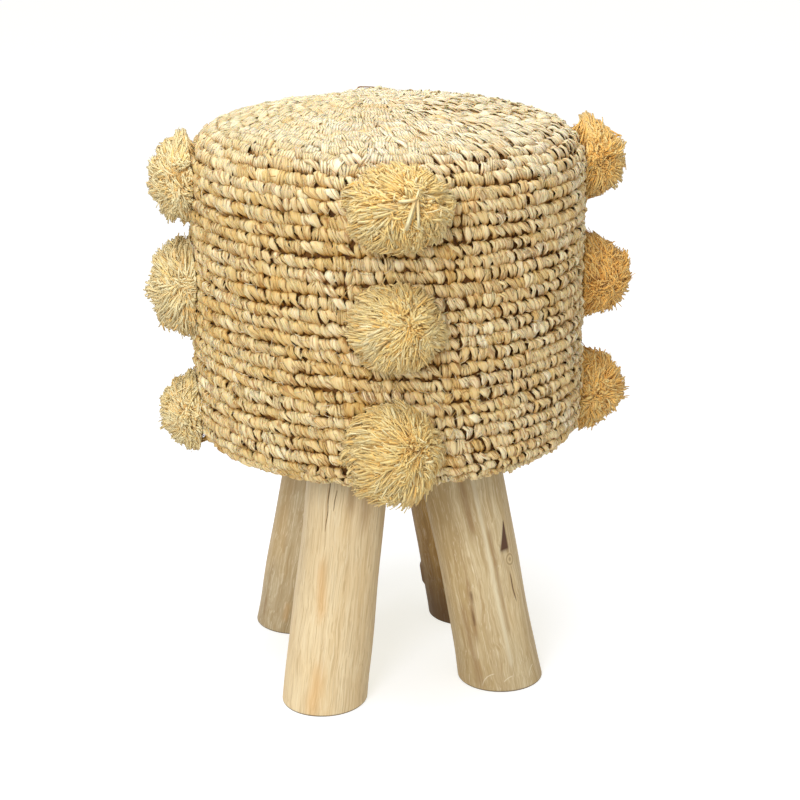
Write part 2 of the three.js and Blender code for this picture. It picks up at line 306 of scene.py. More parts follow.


# The places on a log are shares of a turn round it and of its length. A mark runs from one place to
# another, with its half width and its depth. A knot has its place and size, and a scratch is the part
# of a circle, from its middle and radius, that lies within reach of another place.
# The back legs' tints and bands are darker partly as painted shade, for the shade of the drum over
# them, and partly as each branch's own colour.
legs = {
    "front_left": {
        "turn": -123.9, "bow_share": 0.008, "swell_share": 0.022, "oval_share": 0.018, "phase": 0.1,
        "crack_turn": -0.03, "tint": shade(233, 211, 169), "band": shade(226, 202, 158),
        "sway": 1.2 * mm, "mottle": 0.16, "foot_darkening": 0.0, "top_share": 0.04,
        "marks": [
            ("crack", (-0.018, 0.99), (-0.019, 0.70), 0.5 * mm, 2.5 * mm),
            ("crack", (-0.049, 0.85), (-0.043, 0.78), 0.4 * mm, 1.2 * mm),
            ("brown", (-0.168, 0.88), (-0.166, 0.76), 8 * mm, 0),
            ("brown", (-0.112, 0.99), (-0.105, 0.80), 6 * mm, 0),
            ("orange", (-0.020, 0.53), (-0.034, 0.42), 7 * mm, 0),
            ("orange", (-0.05, 0.12), (-0.04, 0.06), 9 * mm, 0),
        ],
    },
    "front_right": {
        "turn": -32.2, "bow_share": -0.006, "swell_share": 0.026, "oval_share": 0.022, "phase": 0.45,
        "crack_turn": 0.027, "tint": shade(220, 200, 158), "band": shade(194, 168, 120),
        "sway": 2 * mm, "mottle": 0.3, "foot_darkening": 0.1, "top_share": 0.0,
        "knots": [(0.025, 0.508, 4.8 * mm)],
        "scratches": [
            (0.175, 0.005, 14 * mm, 0.224, 0.055, 9 * mm),
            (0.110, -0.005, 13.5 * mm, 0.140, 0.055, 5 * mm),
            (-0.010, 0.025, 11.4 * mm, 0.030, 0.065, 6 * mm),
        ],
        "marks": [
            ("notch", (0.024, 0.66), (0.044, 0.548), 6.6 * mm, 0.5 * mm),
            ("crack", (0.040, 0.46), (0.033, 0.34), 1.1 * mm, 0.5 * mm),
            # Painted highlight along a raised ridge
            ("pale", (0.130, 1.02), (0.118, 0.12), 3 * mm, -0.3 * mm),
            ("brown", (0.175, 0.97), (0.170, 0.66), 5 * mm, 0),
            ("brown", (0.105, 0.62), (0.100, 0.25), 3 * mm, 0),
            ("dark", (0.223, 0.39), (0.233, 0.27), 1.0 * mm, 0.3 * mm),
            ("brown", (0.226, 0.42), (0.236, 0.22), 3.5 * mm, 0),
            ("brown", (0.27, 0.30), (0.25, 0.05), 5 * mm, 0),
        ],
    },
    "back_right": {
        "turn": 44.4, "bow_share": 0.007, "swell_share": 0.02, "oval_share": 0.02, "phase": 0.7,
        "crack_turn": 0.2, "tint": shade(200, 164, 100), "band": shade(170, 128, 62),
        "sway": 3 * mm, "mottle": 0.5, "foot_darkening": 0.85, "top_share": 0.03,
        "marks": [
            ("knot", (-0.375, 0.22), (-0.375, 0.17), 4.5 * mm, 1.6 * mm),
            ("brown", (-0.36, 0.12), (-0.34, 0.0), 7 * mm, 0),
            ("crack", (0.2, 0.9), (0.21, 0.62), 0.8 * mm, 2.5 * mm),
        ],
    },
    "back_left": {
        "turn": 139.7, "bow_share": -0.008, "swell_share": 0.024, "oval_share": 0.016, "phase": 0.9,
        "crack_turn": 0.1, "tint": shade(204, 184, 146), "band": shade(178, 154, 112),
        "sway": 2 * mm, "mottle": 0.35, "foot_darkening": 0.1, "top_share": 0.03,
        "marks": [
            ("brown", (-0.186, 0.125), (-0.186, 0.08), 3 * mm, 0),
            ("orange", (-0.303, 0.125), (-0.303, 0.085), 3 * mm, 0),
            ("crack", (0.1, 0.5), (0.11, 0.2), 0.8 * mm, 2.5 * mm),
        ],
    },
}
leg_turns = sorted(math.radians(leg["turn"]) for leg in legs.values())
closest_leg_gap = min(b - a for a, b in zip(leg_turns, leg_turns[1:]))
leg_top_ring = (2 * leg_top_radius + leg_top_gap) / (2 * math.sin(closest_leg_gap / 2))


def pick(piece, kind, test):
    """In edit mode, selects only the corners, edges or faces that pass a test on their middle."""
    shape = bmesh.from_edit_mesh(piece.data)
    for found in (*shape.verts, *shape.edges, *shape.faces):
        found.select = False
    for found in {"VERT": shape.verts, "EDGE": shape.edges, "FACE": shape.faces}[kind]:
        if kind == "VERT":
            middle = found.co
        else:
            middle = sum((corner.co for corner in found.verts), Vector()) / len(found.verts)
        if test(found, middle):
            found.select_set(True)
    bmesh.update_edit_mesh(piece.data)


def corners_of(piece):
    corners = np.empty(len(piece.data.vertices) * 3)
    piece.data.vertices.foreach_get("co", corners)
    return corners.reshape(-1, 3)


def set_corners(piece, corners):
    piece.data.vertices.foreach_set("co", corners.ravel())
    piece.data.update()


def add_attribute(piece, name, values):
    """Three numbers for each corner, which the piece's material reads."""
    attribute = piece.data.attributes.new(name, "FLOAT_VECTOR", "POINT")
    attribute.data.foreach_set("vector", np.asarray(values, np.float32).ravel())


def eased(share):
    share = np.clip(share, 0, 1)
    return share * share * (3 - 2 * share)


def turn_about_z(points, turn):
    return points @ np.array(Matrix.Rotation(turn, 3, "Z")).T


def on_log(leg, turn_share, rise):
    """A spot on a log's face as its material finds it: round the log, and up it."""
    radius = leg_foot_radius + (leg_top_radius - leg_foot_radius) * rise
    angle = turn_share * full_turn
    spot = np.array([radius * math.cos(angle), radius * math.sin(angle), rise * leg_length])
    return tuple(spot + leg["phase"])


for name, leg in legs.items():
    deselect()
    bpy.ops.mesh.primitive_cylinder_add(
        vertices=leg_sides,
        radius=leg_foot_radius,
        depth=leg_length,
        location=(0, 0, leg_length / 2),
    )
    piece = started(f"log_leg_{name}")
    bpy.ops.object.transform_apply(location=True)
    bpy.ops.object.mode_set(mode="EDIT")
    pick(piece, "EDGE", lambda edge, middle: abs(middle.z - leg_length / 2) < mm)
    bpy.ops.mesh.subdivide(number_cuts=leg_rings)
    bpy.ops.mesh.select_mode(type="EDGE")
    pick(piece, "EDGE", lambda edge, middle: middle.z < mm / 2)
    bpy.ops.mesh.bevel(offset=leg_rim_bevel, segments=3)
    bpy.ops.object.mode_set(mode="OBJECT")

    place = corners_of(piece)
    rim = np.hypot(place[:, 0], place[:, 1]) / leg_foot_radius
    column = np.arctan2(place[:, 1], place[:, 0])
    crack_angle = leg["crack_turn"] * full_turn
    angle = crack_angle + column - leg_crowding_share * np.sin(column)
    rise = place[:, 2] / leg_length
    phase = leg["phase"] * full_turn
    lean = leg_top_ring - leg_foot_ring
    stretch = math.hypot(leg_length, lean) / leg_length
    swell = leg["swell_share"] * np.sin(full_turn * rise + phase)
    oval = leg["oval_share"] * np.cos(2 * angle + phase)
    taper = leg_foot_radius + (leg_top_radius - leg_foot_radius) * rise
    taper *= 1 + leg["top_share"] * rise
    lump = leg_lump * (
        np.sin(3 * angle + 7 * rise + phase) * np.sin(9 * rise - 2 * phase)
        + 0.6 * np.sin(7 * angle - 4 * rise + 3 * phase)
        - 1.2
    )
    radius = taper * (1 + swell + oval) + lump * np.sin(math.pi * np.clip(rise * 4, 0, 0.5))
    marks = np.zeros((len(place), 3))
    for kind, (first_turn, first_rise), (last_turn, last_rise), half_width, depth in leg["marks"]:
        share = np.clip((first_rise - rise) / (first_rise - last_rise), 0, 1)
        line = (first_turn + (last_turn - first_turn) * share) * full_turn
        across = (np.mod(angle - line + math.pi, full_turn) - math.pi) * radius
        past = np.abs(rise - (first_rise + last_rise) / 2) * leg_length
        past = past - (first_rise - last_rise) / 2 * leg_length
        if kind == "crack":
            width = half_width * (0.35 + 0.65 * eased((1 - np.abs(2 * share - 1)) * 2))
            inside = eased(1 - np.abs(across + crack_waver * np.sin(60 * rise)) / width)
            inside *= past < 0
            radius = radius - depth * inside
            # Cracks are also painted dark: painted shade inside them
            marks[:, 0] = np.maximum(marks[:, 0], inside)
        elif kind == "notch":
            width = half_width * (0.1 + 0.9 * share)
            inside = eased(1.6 * (1 - np.abs(across) / width)) * eased(1 - past / mm)
            radius = radius - depth * inside * (0.3 + 0.7 * share)
            marks[:, 0] = np.maximum(marks[:, 0], np.minimum(1.3 * inside, 1))
        elif kind == "knot":
            away = np.hypot(across, np.maximum(past, 0)) / half_width
            swollen = eased(1.5 - away)
            radius = radius + depth * swollen
            marks[:, 1] = np.maximum(marks[:, 1], 0.9 * swollen)
        else:
            away = np.hypot(across / half_width, np.maximum(past, 0) / (3 * half_width))
            inside = eased(1 - away)
            radius = radius - depth * inside
            mark, amount = stains[kind]
            marks[:, mark] += amount * inside
    radius = rim * radius
    bow = leg["bow_share"] * leg_length * np.sin(math.pi * rise)
    shaped = np.stack(
        [
            radius * np.cos(angle) * stretch + lean * rise + bow * math.cos(phase) + leg_foot_ring,
            -radius * np.sin(angle) + bow * math.sin(phase),
            leg_length * rise,
        ],
        axis=1,
    )
    set_corners(piece, turn_about_z(shaped, math.radians(leg["turn"])))
    add_attribute(piece, "marks", marks)
    grain = np.stack([radius * np.cos(angle), radius * np.sin(angle), place[:, 2]], axis=1)
    add_attribute(piece, "grain", grain + leg["phase"])

    # The angle runs the other way round, which turned the faces in
    bpy.ops.object.mode_set(mode="EDIT")
    bpy.ops.mesh.select_all(action="SELECT")
    bpy.ops.mesh.normals_make_consistent(inside=False)
    bpy.ops.mesh.select_mode(type="FACE")
    pick(piece, "FACE", lambda face, middle: middle.z > leg_length - mm / 2)
    bpy.ops.mesh.inset(thickness=leg_top_radius - pilot_radius)
    bpy.ops.mesh.extrude_region_move(TRANSFORM_OT_translate={"value": (0, 0, -pilot_depth)})
    bpy.ops.object.mode_set(mode="OBJECT")
    bpy.ops.object.shade_smooth_by_angle(angle=math.radians(50))

    paint = Paint(bpy.data.materials.new(f"log_{name}"))
    piece.data.materials.append(paint.owner)
    straight = paint.attribute("grain")
    sway = paint.noise(paint.stretched(straight, (70, 70, 26)), 2, 0.5)
    other_sway = paint.noise(paint.stretched(straight, (50, 50, 34)), 2, 0.5)
    step = paint.vector((sway - 0.5) * 4 * leg["sway"], (other_sway - 0.5) * 4 * leg["sway"], 0)
    grain = paint.shifted(straight, step)
    eye, rings, scratch = 0.0, 0.0, 0.0
    for spot_turn, spot_rise, size in leg.get("knots", []):
        away = paint.distance(straight, on_log(leg, spot_turn, spot_rise))
        ring_phase = away * (full_turn / (knot_ring_share * size)) - math.pi / 2
        wave = paint.sum_of("SINE", ring_phase, 0.0)
        eye = paint.between(away, size * 1.3, size)
        rings = eye * (0.4 + 0.5 * wave) + paint.between(away, size * 2.4, size) * 0.2
    for middle_turn, middle_rise, size, kept_turn, kept_rise, reach in leg.get("scratches", []):
        away = paint.distance(straight, on_log(leg, middle_turn, middle_rise))
        inner = paint.between(away, size - scratch_half_width, size)
        line = inner * paint.between(away, size + scratch_half_width, size)
        away = paint.distance(straight, on_log(leg, kept_turn, kept_rise))
        scratch = line * paint.between(away, reach, reach * 0.7) + scratch
    broad = paint.noise(paint.stretched(grain, (95, 95, 5)), 3, 0.6, 0.4)
    streak = paint.noise(paint.stretched(grain, (640, 640, 9)), 4, 0.65, 0.3)
    fibre = paint.noise(paint.stretched(grain, (1200, 1200, 26)), 2, 0.5)
    patch = paint.noise(paint.stretched(grain, (30, 30, 12)), 2, 0.5)
    mottle = paint.noise(paint.stretched(grain, (210, 210, 16)), 4, 0.65)
    dark, brown, orange = paint.parts(paint.attribute("marks"))
    height_up = paint.parts(paint.object_place())[2]
    colour = paint.layered(
        paint.mix(paint.between(broad, 0.34, 0.66), leg["band"], leg["tint"]),
        [
            (paint.between(mottle, 0.5, 0.64) * leg["mottle"], (160, 124, 76)),
            (paint.between(streak, 0.52, 0.7) * 0.45, (240, 226, 190)),
            (paint.between(streak, 0.47, 0.32) * 0.45, (180, 147, 98)),
            (paint.between(fibre, 0.52, 0.66) * 0.35, (172, 140, 94)),
            (paint.between(fibre, 0.44, 0.32) * 0.4, (246, 234, 204)),
            (paint.between(patch, 0.5, 0.72) * 0.25, (224, 188, 128)),
            (orange, (220, 168, 98)),
            # Painted highlight along the pale ridge
            (paint.between(orange, 0.0, -0.7) * 0.5, (240, 228, 196)),
            (scratch * 0.7, (248, 236, 206)),
            (brown * (0.5 + streak), (146, 106, 60)),
            (eye * 0.7, (226, 204, 156)),
            (rings * 0.55, (140, 106, 66)),
            # In the cracks this dark is painted shade
            (dark, (88, 56, 30)),
            # Darker towards the foot
            (paint.between(height_up, darkening_reach, 0.0) * leg["foot_darkening"], (72, 40, 8)),
            # The rim of the foot: painted contact shadow
            (paint.between(height_up, *rim_contact_shadow) * 0.85, (74, 54, 36)),
        ],
    )
    relief = (streak * 0.6 + fibre * 0.4, 0.35, 0.3 * mm)
    paint.finish(colour, 0.52 + 0.16 * streak, relief, {"Specular IOR Level": 0.35})
    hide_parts(f"leg_{name}")
    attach(piece, "root")


# Crocheted cover
# One spiral of split palm leaf, worked from the middle of the seat over the shoulder and down the
# wall to the hem. Each stitch is a folded strip that comes out at its row's upper edge, rounds over
# it, and slants down to the right behind the next row.
seat_height = 450 * mm
cover_radius = 148 * mm
crown_radius = 442.2 * mm
crown_lean = math.radians(15.9)
shoulder_radius = 37 * mm
wall_drop = 188.5 * mm
lower_edge_radius = 19 * mm
hem_width = 17 * mm
row_height = 9.6 * mm
stitch_width = 7.05 * mm
first_run = 5 * mm
open_row_run = 142.4 * mm
stitch_sink = 2.4 * mm
seat_sink_share = 0.65
broad_strip_sides = 10
# How the stitches differ: the spread of a chance, its middle, and the least and most that it gives.
# By their twist they stand up on the left side and dip under the next one on the right.
stitch_widths = (0.1, 1.07, 0.85, 1.35)
stitch_depths = (0.1, 1.0, 0.75, 1.25)
stitch_heights = (0.12, 1.02, 0.8, 1.3)
stitch_leans = (0.24, 0.0, -0.5, 0.5)
stitch_twists = (0.2, -0.11, -0.55, 0.4)
# How much strips differ in their angle in the row, and loose fibres, in radians
strip_spin = 0.07
fibre_spin = 0.9
# How fast strips narrow downward in the looser row, and how much that differs in every row
open_row_narrowing = 0.09
narrowing_spread = 0.02
# In millimetres, how far each stitch is out of its place, and nearer or further out, and how far
# each corner of a strip is crumpled, and of a loose fibre
place_spread = 0.5
depth_spread = 0.27
crumple = 0.44
fibre_crumple = 0.06
# The rows waver up and down: how far, and for each kind of wave how many go round the drum and
# how far they shift, in radians, with each millimetre down it
row_waver = 0.45 * mm
row_waves = [(3, 0.21), (7, -0.13)]
# On the seat the strips lie flatter and smoother, are wider and longer, and are further out of
# their rows, and its loose fibres are shorter
seat_flatness = 0.45
seat_widening = 0.08
seat_lengthening = 0.04
seat_unevenness = 1.4
seat_fibre_shortening = 0.35
# The seat of the stool has sunk, most on one side
settled_from = 420 * mm
settled_drop = 2.2 * mm
settled_tilt = 1.6 * mm
settled_turn = math.radians(140)
# At the back of the seat the crochet is lifted a little, and a stray fibre lies across it
lift_place = (-8 * mm, 92 * mm)
lift_reach = 28 * mm
lift_rise = 3.1 * mm
# Deeper corners of a strip are painted darker and browner, from one depth down to the other: painted
# shade of its neighbours
shown_depth = 0.4 * mm
buried_depth = 3.4 * mm
buried_painted_shade = 0.5
# The share by which that is less on the seat
seat_unburied_share = 0.7
# How far light goes into dry leaf, red the furthest, in millimetres
leaf_glow = (1.2, 0.7, 0.3)
# The leaf from its darkest tone to its palest
leaf_stops = [
    (0.0, (132, 80, 16)),
    (0.16, (186, 142, 64)),
    (0.34, (227, 198, 134)),
    (0.58, (243, 225, 176)),
    (0.82, (251, 240, 204)),
    (1.0, (254, 247, 218)),
]
stray_fibre_leaf = (-0.3, 0.5, 0.5)
# Where the finish of the wall begins under that of the seat, and where it is the wall's alone
wall_finish_heights = (432 * mm, 422 * mm)

outline_steps = 2000
cover_bends = [
    (crown_radius * crown_lean, crown_lean),
    (shoulder_radius * (math.pi / 2 - crown_lean), math.pi / 2),
    (wall_drop, math.pi / 2),
    (lower_edge_radius * math.pi / 2, math.pi),
    (hem_width, math.pi),
]
bend_runs = np.cumsum([0] + [run for run, lean in cover_bends])
bend_leans = [0] + [lean for run, lean in cover_bends]
cover_runs = np.linspace(0, bend_runs[-1], outline_steps)
cover_leans = np.interp(cover_runs, bend_runs, bend_leans)
run_step = cover_runs[1]
middle_leans = (cover_leans[1:] + cover_leans[:-1]) / 2
cover_radii = np.concatenate([[0], np.cumsum(np.cos(middle_leans))]) * run_step
cover_heights = seat_height - run_step * np.concatenate([[0], np.cumsum(np.sin(middle_leans))])


def on_cover(turn, run, out):
    """Points at a turn about the drum, a run down its outline and a distance out from its face."""
    lean = np.interp(run, cover_runs, cover_leans)
    radius = np.interp(run, cover_runs, cover_radii) + out * np.sin(lean)
    height = np.interp(run, cover_runs, cover_heights) + out * np.cos(lean)
    return np.stack([radius * np.cos(turn), radius * np.sin(turn), height], axis=-1)


def settled(points):
    """Lowers points in the seat, which has sunk, most at the back left, and lifts one place."""
    share = eased((points[..., 2] - settled_from) / (seat_height - settled_from))
    toward = points[..., 0] * math.cos(settled_turn) + points[..., 1] * math.sin(settled_turn)
    drop = share * (settled_drop + settled_tilt * toward / cover_radius)
    away = np.hypot(points[..., 0] - lift_place[0], points[..., 1] - lift_place[1])
    drop = drop - share * lift_rise * eased(1.5 * (1 - away / lift_reach))
    return points - drop[..., None] * np.array([0, 0, 1])


def leaf_strip(sides, rings, crease=0.0):
    """A folded strip of leaf, modelled as a tube whose rings are set one by one. Each ring is
    (across, out, up, width, thickness, heading), in millimetres, and degrees from straight down.
    The crease is how deep the furrows along it are, as a share of its thickness."""
    deselect()
    bpy.ops.mesh.primitive_cylinder_add(vertices=sides, radius=0.5 * mm, depth=1 * mm)
    strip = started("leaf_strip")
    bpy.ops.object.mode_set(mode="EDIT")
    pick(strip, "EDGE", lambda edge, middle: abs(middle.z) < mm / 10)
    bpy.ops.mesh.subdivide(number_cuts=len(rings) - 2)
    bpy.ops.mesh.select_mode(type="VERT")
    shape = bmesh.from_edit_mesh(strip.data)
    heights = sorted({round(corner.co.z / mm, 3) for corner in shape.verts}, reverse=True)
    level_of = {corner.index: heights.index(round(corner.co.z / mm, 3)) for corner in shape.verts}
    furrows = set()
    for corner in shape.verts:
        column = round(math.atan2(corner.co.x, corner.co.y) / full_turn * sides)
        if column % 2:
            furrows.add(corner.index)

    for level, (across, out, up, width, thickness, heading) in enumerate(rings):
        height = (1 / 2 - level / (len(rings) - 1)) * mm
        pivot = (0, 0, height)

        def on_ring(corner, middle):
            return level_of[corner.index] == level

        def in_furrow(corner, middle):
            return on_ring(corner, middle) and corner.index in furrows

        pick(strip, "VERT", on_ring)
        bpy.ops.transform.resize(value=(width, thickness, 1), center_override=pivot)
        if crease:
            pick(strip, "VERT", in_furrow)
            bpy.ops.transform.resize(value=(1 - crease / 3, 1 - crease, 1), center_override=pivot)
            pick(strip, "VERT", on_ring)
        bpy.ops.transform.rotate(
            value=math.radians(-heading),
            orient_axis="X",
            orient_type="GLOBAL",
            center_override=pivot,
        )
        bpy.ops.transform.translate(value=(across * mm, out * mm, up * mm - height))
    bpy.ops.object.mode_set(mode="OBJECT")
    return strip


class Pattern:
    """A modelled shape as arrays: its corners, and each face's corners and UV places."""

    def __init__(self, *pieces):
        deselect()
        for piece in pieces:
            piece.select_set(True)
        bpy.context.view_layer.objects.active = pieces[0]
        if len(pieces) > 1:
            bpy.ops.object.join()
        mesh = pieces[0].data
        self.corners = corners_of(pieces[0])
        self.loops = np.empty(len(mesh.loops), int)
        mesh.loops.foreach_get("vertex_index", self.loops)
        self.starts = np.empty(len(mesh.polygons), int)
        mesh.polygons.foreach_get("loop_start", self.starts)
        self.places = np.empty(len(mesh.loops) * 2)
        mesh.uv_layers[0].data.foreach_get("uv", self.places)
        bpy.data.objects.remove(pieces[0])


def piled(name, batches):
    """One mesh of many copies. Each batch is a pattern, the corners of all of its copies, and three
    numbers, for each copy or each of its corners, that its material reads."""
    corners, loops, starts, places, leaves = [], [], [], [], []
    corner_count = 0
    loop_count = 0
    for pattern, copies, leaf in batches:
        count, each = copies.shape[:2]
        number = np.arange(count)[:, None]
        corners.append(copies.reshape(-1, 3))
        loops.append((pattern.loops + number * each).ravel() + corner_count)
        starts.append((pattern.starts + number * len(pattern.loops)).ravel() + loop_count)
        places.append(np.tile(pattern.places, count))
        leaves.append(np.broadcast_to(leaf, copies.shape).reshape(-1, 3))
        corner_count += count * each
        loop_count += count * len(pattern.loops)
    mesh = bpy.data.meshes.new(name)
    mesh.vertices.add(corner_count)
    mesh.loops.add(loop_count)
    mesh.polygons.add(sum(len(batch) for batch in starts))
    mesh.vertices.foreach_set("co", np.concatenate(corners).ravel())
    mesh.loops.foreach_set("vertex_index", np.concatenate(loops))
    mesh.polygons.foreach_set("loop_start", np.concatenate(starts))
    mesh.uv_layers.new(name="along").data.foreach_set("uv", np.concatenate(places))
    mesh.update(calc_edges=True)
    piece = bpy.data.objects.new(name, mesh)
    bpy.context.scene.collection.objects.link(piece)
    add_attribute(piece, "leaf", np.concatenate(leaves))
    return piece


broad_strip = leaf_strip(
    broad_strip_sides,
    [
        (-2.2, -3.4, 4.4, 5.2, 1.4, 95),
        (-2.3, -1.5, 5.4, 7.0, 1.9, 75),
        (-2.1, 0.7, 4.7, 8.8, 2.5, 42),
        (-1.3, 1.8, 2.3, 8.8, 2.9, 4),
        (0.2, 1.0, -0.9, 6.5, 2.6, -28),
        (1.9, -1.3, -3.5, 4.0, 2.0, -48),
        (3.1, -3.9, -5.7, 2.4, 1.2, -58),
    ],
    crease=0.42,
)
left_strip = leaf_strip(
    5,
    [
        (-3.1, -3.3, 4.2, 2.6, 1.3, 90),
        (-3.2, -0.9, 5.4, 3.9, 2.0, 65),
        (-2.9, 1.5, 3.9, 4.7, 2.6, 22),
        (-1.6, 1.6, 0.6, 4.4, 2.6, -10),
        (0.2, -0.2, -2.9, 3.3, 2.0, -36),
        (1.9, -3.5, -5.8, 2.2, 1.3, -54),
    ],
)
right_strip = leaf_strip(
    5,
    [
        (0.3, -3.3, 4.0, 2.6, 1.3, 90),
        (0.5, -1.1, 5.0, 3.8, 1.9, 66),
        (1.0, 1.0, 3.6, 4.5, 2.4, 26),
        (1.9, 1.2, 0.7, 4.2, 2.5, -8),
        (3.0, -0.5, -2.8, 3.1, 1.9, -36),
        (4.1, -3.5, -5.6, 2.0, 1.3, -54),
    ],
)
thin_strip = leaf_strip(
    4,
    [
        (4.2, -3.0, 4.6, 1.3, 0.7, 60),
        (3.7, 0.2, 3.0, 1.8, 0.9, 20),
        (2.4, 0.9, -0.6, 1.7, 0.9, -4),
        (0.6, -0.3, -4.2, 1.5, 0.9, -20),
        (-0.5, -2.8, -6.6, 1.0, 0.6, -50),
    ],
)
fold_strip = leaf_strip(
    6,
    [
        (-2.3, -3.4, 4.4, 4.2, 1.4, 95),
        (-2.3, -1.2, 5.5, 5.8, 2.0, 72),
        (-1.9, 1.4, 4.3, 7.2, 2.9, 30),
        (-0.7, 2.0, 1.4, 6.6, 3.1, -4),
        (0.9, 0.5, -2.1, 4.8, 2.5, -32),
        (2.5, -3.3, -5.8, 2.8, 1.5, -54),
    ],
    crease=0.36,
)
narrow_strips = [
    leaf_strip(
        4,
        [
            (across - 1.1, lift - 3.2, 4.5, 1.7, 1.3, 85),
            (across - 1.0, lift - 0.2, 5.2, 2.5, 1.7, 50),
            (across - 0.3, lift + 1.3, 2.2, 2.8, 1.9, 2),
            (across + 0.6, lift + 0.2, -2.0, 2.4, 1.8, -28),
            (across + 2.0, lift - 3.3, -5.8, 1.5, 1.2, -54),
        ],
    )
    for across, lift in ((-2.8, 0.0), (-0.9, 0.5), (1.0, 0.1), (2.8, -0.1))
]
loose_fibre = leaf_strip(
    4,
    [
        (-4.2, 1.6, 2.4, 0.5, 0.4, 20),
        (-1.6, 3.1, 1.0, 0.8, 0.5, 0),
        (1.4, 3.2, -0.6, 0.7, 0.5, 0),
        (4.4, 1.4, -2.2, 0.4, 0.4, -20),
    ],
)
stray_fibre = leaf_strip(
    4,
    [
        (-2.2, -2.2, 11.0, 1.0, 0.8, 10),
        (-0.6, -0.3, 8.0, 1.2, 0.9, 8),
        (0.3, 0.7, 3.0, 1.4, 0.9, 4),
        (0.2, 1.1, -3.0, 1.4, 0.9, 0),
        (0.4, 1.3, -7.4, 1.5, 1.0, -8),
        (-0.4, 0.8, -9.2, 1.6, 1.2, -30),
        (-1.6, -1.2, -10.2, 1.3, 1.0, -60),
    ],
)
stray_pattern = Pattern(stray_fibre)
stitch_patterns = [
    Pattern(broad_strip),
    Pattern(left_strip, right_strip),
    Pattern(fold_strip, thin_strip),
    Pattern(*narrow_strips),
    Pattern(loose_fibre),
]
# Each pattern's share on the wall, and how it changes up to the middle of the seat
pattern_shares = [(0.34, -0.34), (0.26, -0.18), (0.24, -0.2), (0.16, 0.72)]
loose_fibres = 1500
loose_fibres_from = 20 * mm
loose_fibre_tones = [0.2, 0.85, 1.0]
# How pale the leaf is on the wall; how much paler it is painted on the seat, a painted light from
# above; and how much paler to the right and darker to the left, painted light and shade that even out
# the lamps' light, which is stronger from the left
wall_tone = 0.58
seat_painted_light = 0.31
right_painted_light = 0.12
tone_limits = (0.3, 1.1)
# How much the tone of one stitch differs, and how much the tone of some stitches in a row
tone_spread = 0.075
slow_tone_spread = 0.06
slow_stitches = 9
hue_spread = 0.13
stitch_seed = 41
# The leaf is a little more golden round to the front right, most on the wall
golden_side = math.radians(50)
golden_share = 0.23
seat_golden_share = 0.13

# Stations of the stitches along the spiral, as a turn and a run down the outline
stations = []
turn = 0.0
run = first_run
while run < bend_runs[-1] - row_height / 2:
    stations.append((turn, run))
    turn += stitch_width / max(np.interp(run, cover_runs, cover_radii), first_run)
    run = first_run + row_height * turn / full_turn
draw = np.random.default_rng(stitch_seed)
stitch_count = len(stations)
fibre_reach = bend_runs[3] - loose_fibres_from
fibre_runs = np.sqrt(draw.uniform(0, 1, loose_fibres)) * fibre_reach + loose_fibres_from
fibre_turns = draw.uniform(0, full_turn, loose_fibres)
stations = np.concatenate([stations, np.stack([fibre_turns, fibre_runs], axis=1)])
count = len(stations)
station_turns, station_runs = stations.T
station_radii = np.maximum(np.interp(station_runs, cover_runs, cover_radii), first_run)
# 1 where the cover faces up, as on the seat, down to 0 on the wall
flatness = np.cos(np.interp(station_runs, cover_runs, cover_leans)).clip(0)
stitch_turn = station_turns + draw.normal(0, place_spread, count) * mm / station_radii
wave = sum(np.sin(waves * station_turns + station_runs / mm * shift) for waves, shift in row_waves)
stitch_run = station_runs + row_waver * wave
unevenness = draw.normal(0, place_spread, count) * (1 + seat_unevenness * flatness)
stitch_run = stitch_run + unevenness * mm
kernel = np.hanning(slow_stitches)
kernel = kernel / kernel.sum()
slow = np.convolve(draw.normal(0, 1, count + slow_stitches - 1), kernel, "valid")
slow = slow / np.sqrt((kernel**2).sum())
tone = wall_tone + slow_tone_spread * slow + tone_spread * draw.normal(0, 1, count)
# Painted light: paler on the seat and to the right, darker to the left
tone = tone + right_painted_light * np.cos(station_turns) + seat_painted_light * flatness
tone = np.clip(tone, *tone_limits)
golden_here = golden_share + (seat_golden_share - golden_share) * flatness
golden_here = golden_here * np.cos(station_turns + golden_side)
hue = np.clip(0.5 + hue_spread * draw.normal(0, 1, count) + golden_here, 0, 1)
seed = draw.random(count)
limits = np.cumsum([wall + change * flatness for wall, change in pattern_shares], axis=0)
kind = (draw.random(count) > limits[:-1]).sum(axis=0)
kind[stitch_count:] = len(pattern_shares)
tone[stitch_count:] = draw.choice(loose_fibre_tones, loose_fibres)
is_open = np.abs(station_runs - open_row_run) < row_height / 2


def turned(first, second, angle):
    """Two coordinates after a turn in their plane."""
    return (
        first * np.cos(angle) - second * np.sin(angle),
        first * np.sin(angle) + second * np.cos(angle),
    )


